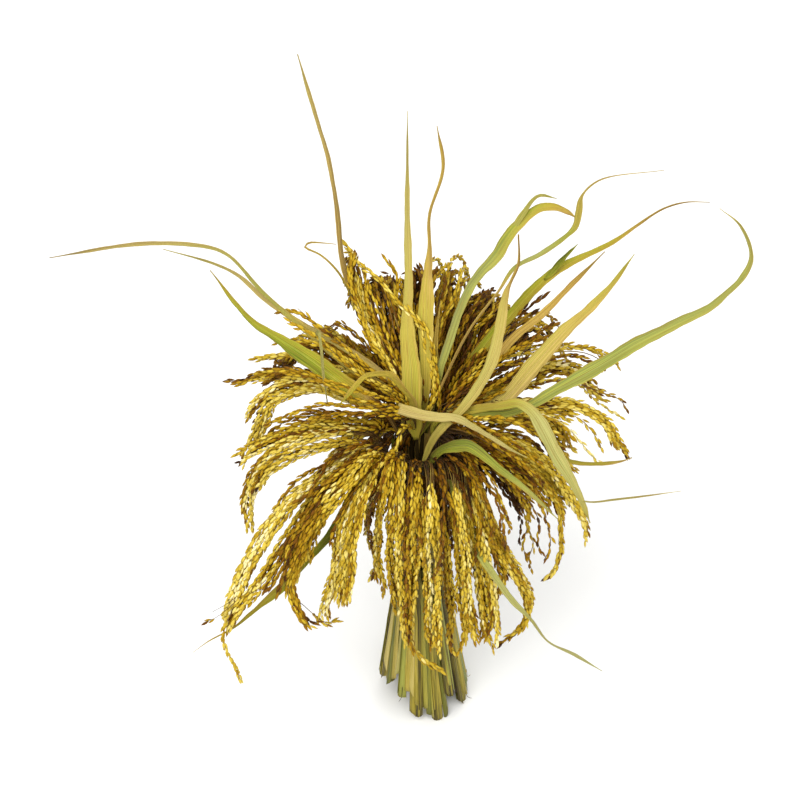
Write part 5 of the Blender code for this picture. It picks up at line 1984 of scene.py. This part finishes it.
@dataclass
class Blade:
    """A leaf blade: a thin folded strip that narrows to a point, with rippled and slightly ragged edges."""

    bunch: Bunch
    eye: Eye
    plan: BladePlan
    rank: int
    thickness: float = 0.28
    columns: int = 8
    row_length: float = 3.4
    collar: float = 1.2
    ripple: float = 0.11
    ragged: float = 0.06
    gap: float = 0.3

    def __post_init__(self) -> None:
        """Names the blade and lays out its line."""
        self.name = f"leaf_{self.plan.name}"
        places = [self.eye.seen(*place) for place in self.plan.places]
        if self.plan.root:
            stalk, height, side = self.plan.root
            stem, diameter = self.bunch.stalk_at(stalk, height)
            places.insert(0, stem + polar(side, diameter / 2 + self.collar + self.gap, 0.0))
        self.line = Line(smooth_curve(places))
        self.phase = random.Random(500 + self.rank).uniform(0, 6.28)

    def mesh(self) -> Mesh:
        """The blade as a mesh one face thick.

        Returns:
            The mesh, in metres.
        """
        backward = self.eye.axes()[2]

        @lru_cache(maxsize=4)
        def section(along: float) -> tuple[Vector, Vector, Vector, float]:
            """The blade's middle, the directions across and through it, and its half width.

            Args:
                along: From 0 to 1.

            Returns:
                The middle, the two directions and the half width.
            """
            middle, ahead = self.line.at(along)
            turned = math.radians(between(self.plan.turns, along))
            flat_side = ahead.cross(backward).normalized()
            side = flat_side * math.cos(turned) + flat_side.cross(ahead) * math.sin(turned)
            return middle, side, side.cross(ahead), between(self.plan.widths, along) / 2

        def place(across: float, along: float) -> Vector:
            """A place on the blade.

            Args:
                across: From -1 to 1.
                along: From 0 to 1.

            Returns:
                The place.
            """
            middle, side, face, half = section(along)
            distance = along * self.line.length
            sunk = half * self.plan.fold * abs(across)
            wave = math.sin(distance / 8 + self.phase + 1.4 * across)
            edge = distance / 6 + self.phase * (2 + across)
            torn = 1 + math.sin(edge) + 0.6 * math.sin(2.7 * edge + across)
            ragged = 1 - self.ragged * abs(across) ** 3 * torn
            raised = sunk + self.ripple * half * across**2 * wave
            return middle + side * (half * across * ragged) + face * raised

        def ripeness(across: float, along: float) -> float:
            """How ripe the blade is there."""
            return between(self.plan.ripeness, along) + self.plan.edge * across

        rows = round(self.line.length / self.row_length)
        shape = bent_sheet(self.columns, rows, place, ripeness, self.plan.bloom)
        return finished_mesh(self.name, [shape], self.rank * 5.3)

    def build(self) -> Object:
        """Builds the blade as one piece, in place of its solid where it has one.

        Returns:
            The piece.
        """
        slot, replaced = "leaf_dry" if self.plan.dry else "leaf_green", [] if self.plan.thin else [self.name]
        piece = add_piece(f"blade_{self.name}", self.mesh(), [BLADE], slot=slot, replaced=replaced)
        wall = piece.modifiers.new("thickness", "SOLIDIFY")
        wall.thickness = self.thickness * MM
        wall.offset = 0.0
        return piece


# ---- the band


@dataclass
class Band:
    """The band at the waist: a two-ply straw rope wound three times round, with a hitch and two tails."""

    bunch: Bunch
    turns: int = 3
    height: float = 12.0
    rope_radius: float = 1.75
    ply_radius: float = 1.05
    lay: float = 13.0
    knot_azimuth: float = -150.0
    hitch_width: float = 3.2
    hitch_lean: float = 8.0
    tail: float = 30.0
    tail_taper: float = 0.6

    def __post_init__(self) -> None:
        """Works out the radius that the rope is wound at."""
        bottom = self.bunch.waist_height - self.height / 2
        stalk, diameter = self.bunch.stalk_at(len(EARS) - 1, bottom)
        self.out = stalk.xy.length + diameter / 2 + self.rope_radius + 0.1

    def winding(self) -> list[Vector]:
        """The line of the rope round the waist.

        Returns:
            Points along it.
        """
        bottom = self.bunch.waist_height - self.height / 2 + self.rope_radius
        rise = self.height - 2 * self.rope_radius
        count = self.turns * 60
        return [
            polar(self.knot_azimuth + 360 * self.turns * i / count, self.out, bottom + rise * i / count)
            for i in range(count + 1)
        ]

    def hitch(self) -> list[Vector]:
        """The line of the rope round its own turns, where it is knotted.

        Returns:
            Points along it.
        """
        count = 40
        tall = self.height / 2 + 1.4
        found = []
        for i in range(count + 1):
            angle = TURN * i / count
            azimuth = self.knot_azimuth + self.hitch_lean * (i / count - 0.5)
            middle = polar(azimuth, self.out + self.hitch_width * math.cos(angle) + 0.8, 0.0)
            found.append(middle + Vector((0.0, 0.0, self.bunch.waist_height + tall * math.sin(angle))))
        return found

    def tails(self) -> list[list[Vector]]:
        """The lines of the rope's two ends, which hang from the knot.

        Returns:
            Points along each.
        """
        found = []
        for side, reach in ((-1, 1.0), (1, 0.8)):
            start = polar(self.knot_azimuth + 6 * side, self.out + 3.4, self.bunch.waist_height - 1)
            out = polar(self.knot_azimuth + 24 * side, 1.0, 0.0)
            drop = Vector((0.0, 0.0, -self.tail * reach))
            found.append(bezier(start, start + out * 7, start + out * 9 + drop * 0.5, start + out * 8 + drop))
        return found

    def plies(self, route: Sequence[Vector], taper: float) -> list[Shape]:
        """The two plies that the rope is twisted from.

        Args:
            route: The rope's line.
            taper: How much thinner it is at its end, from 0 to 1.

        Returns:
            A closed tube for each ply.
        """
        line = Line(route, step=1.5)
        axis = Vector((0.05, 0.02, 1.0)).normalized()
        found = []
        for ply in range(2):
            points = []
            for along in line.along:
                share = along / line.length
                middle, ahead = line.at(share)
                side = ahead.cross(axis)
                side = side.normalized() if side.length > 0.2 else Vector((1.0, 0.0, 0.0))
                face = side.cross(ahead)
                angle = TURN * along / self.lay + math.pi * ply
                off = (self.rope_radius - self.ply_radius) * (1 - taper * share)
                points.append(middle + (side * math.cos(angle) + face * math.sin(angle)) * off)
            path = Line(points, step=1.5)
            rows = len(path.points) - 1
            found.append(tube(path, rows, 8, lambda along: self.ply_radius * (1 - taper * along)))
        return found

    def build(self) -> Object:
        """Builds the band as one piece, in place of its solid.

        Returns:
            The piece.
        """
        shapes = self.plies(self.winding(), 0.0) + self.plies(self.hitch(), 0.0)
        for route in self.tails():
            shapes += self.plies(route, self.tail_taper)
        return add_piece("straw_band", finished_mesh("tie", shapes), [STRAW], slot="tie", replaced=["tie"])


# ---- the studio


@dataclass
class Studio:
    """A plain pale floor, soft light and a camera at the bunch's viewing angle."""

    eye: Eye
    floor_side: float = 12.0
    lens: float = 84.4
    sensor: float = 36.0
    sky: float = 0.46
    # Each lamp's place in metres, its side in metres and its watts
    lamps: tuple[tuple[str, Triple, float, float], ...] = (
        ("key", (-0.6, -1.5, 2.6), 2.6, 108.0),
        ("fill", (1.6, -1.2, 1.4), 2.0, 20.0),
        ("back", (0.3, 1.6, 1.8), 1.6, 16.0),
    )

    def floor(self) -> None:
        """Lays the floor."""
        shape = bmesh.new()
        bmesh.ops.create_grid(shape, x_segments=1, y_segments=1, size=self.floor_side / 2)
        mesh = bpy.data.meshes.new("floor")
        shape.to_mesh(mesh)
        shape.free()
        mesh.materials.append(FLOOR.make())
        put("floor", mesh)

    def light(self) -> None:
        """Hangs soft square lamps, turned to the bunch, under a pale sky."""
        for name, place, size, watts in self.lamps:
            lamp = bpy.data.lights.new(name, "AREA")
            lamp.size = size
            lamp.energy = watts
            holder = put(name, lamp)
            holder.location = place
            away = Vector(place) - Vector((0.0, 0.0, 0.3))
            holder.rotation_euler = away.to_track_quat("Z", "Y").to_euler()
        world = bpy.data.worlds.new("sky")
        world.use_nodes = True
        background = world.node_tree.nodes["Background"]
        background.inputs["Color"].default_value = linear("#FFFFFF")
        background.inputs["Strength"].default_value = self.sky
        bpy.context.scene.world = world

    def camera(self) -> None:
        """Sets the camera at the eye."""
        lens = bpy.data.cameras.new("camera")
        lens.lens = self.lens
        lens.sensor_width = self.sensor
        camera = put("camera", lens)
        camera.location = self.eye.position() * MM
        camera.rotation_euler = self.eye.axes()[2].to_track_quat("Z", "Y").to_euler()
        bpy.context.scene.camera = camera

    def build(self) -> None:
        """Builds the studio."""
        self.floor()
        self.light()
        self.camera()
        bpy.context.scene.view_settings.view_transform = "Standard"


def main() -> None:
    """Builds the studio and every piece of the bunch."""
    logging.basicConfig(level=logging.INFO, format="%(name)s: %(message)s")
    eye, bunch = Eye(), Bunch()
    Studio(eye).build()
    for index in range(len(EARS)):
        Stem(bunch, index).build()
        Ear(bunch, eye, index).build()
    for rank, plan in enumerate(BLADES):
        Blade(bunch, eye, plan, rank).build()
    Band(bunch).build()


if __name__ == "__main__":
    main()
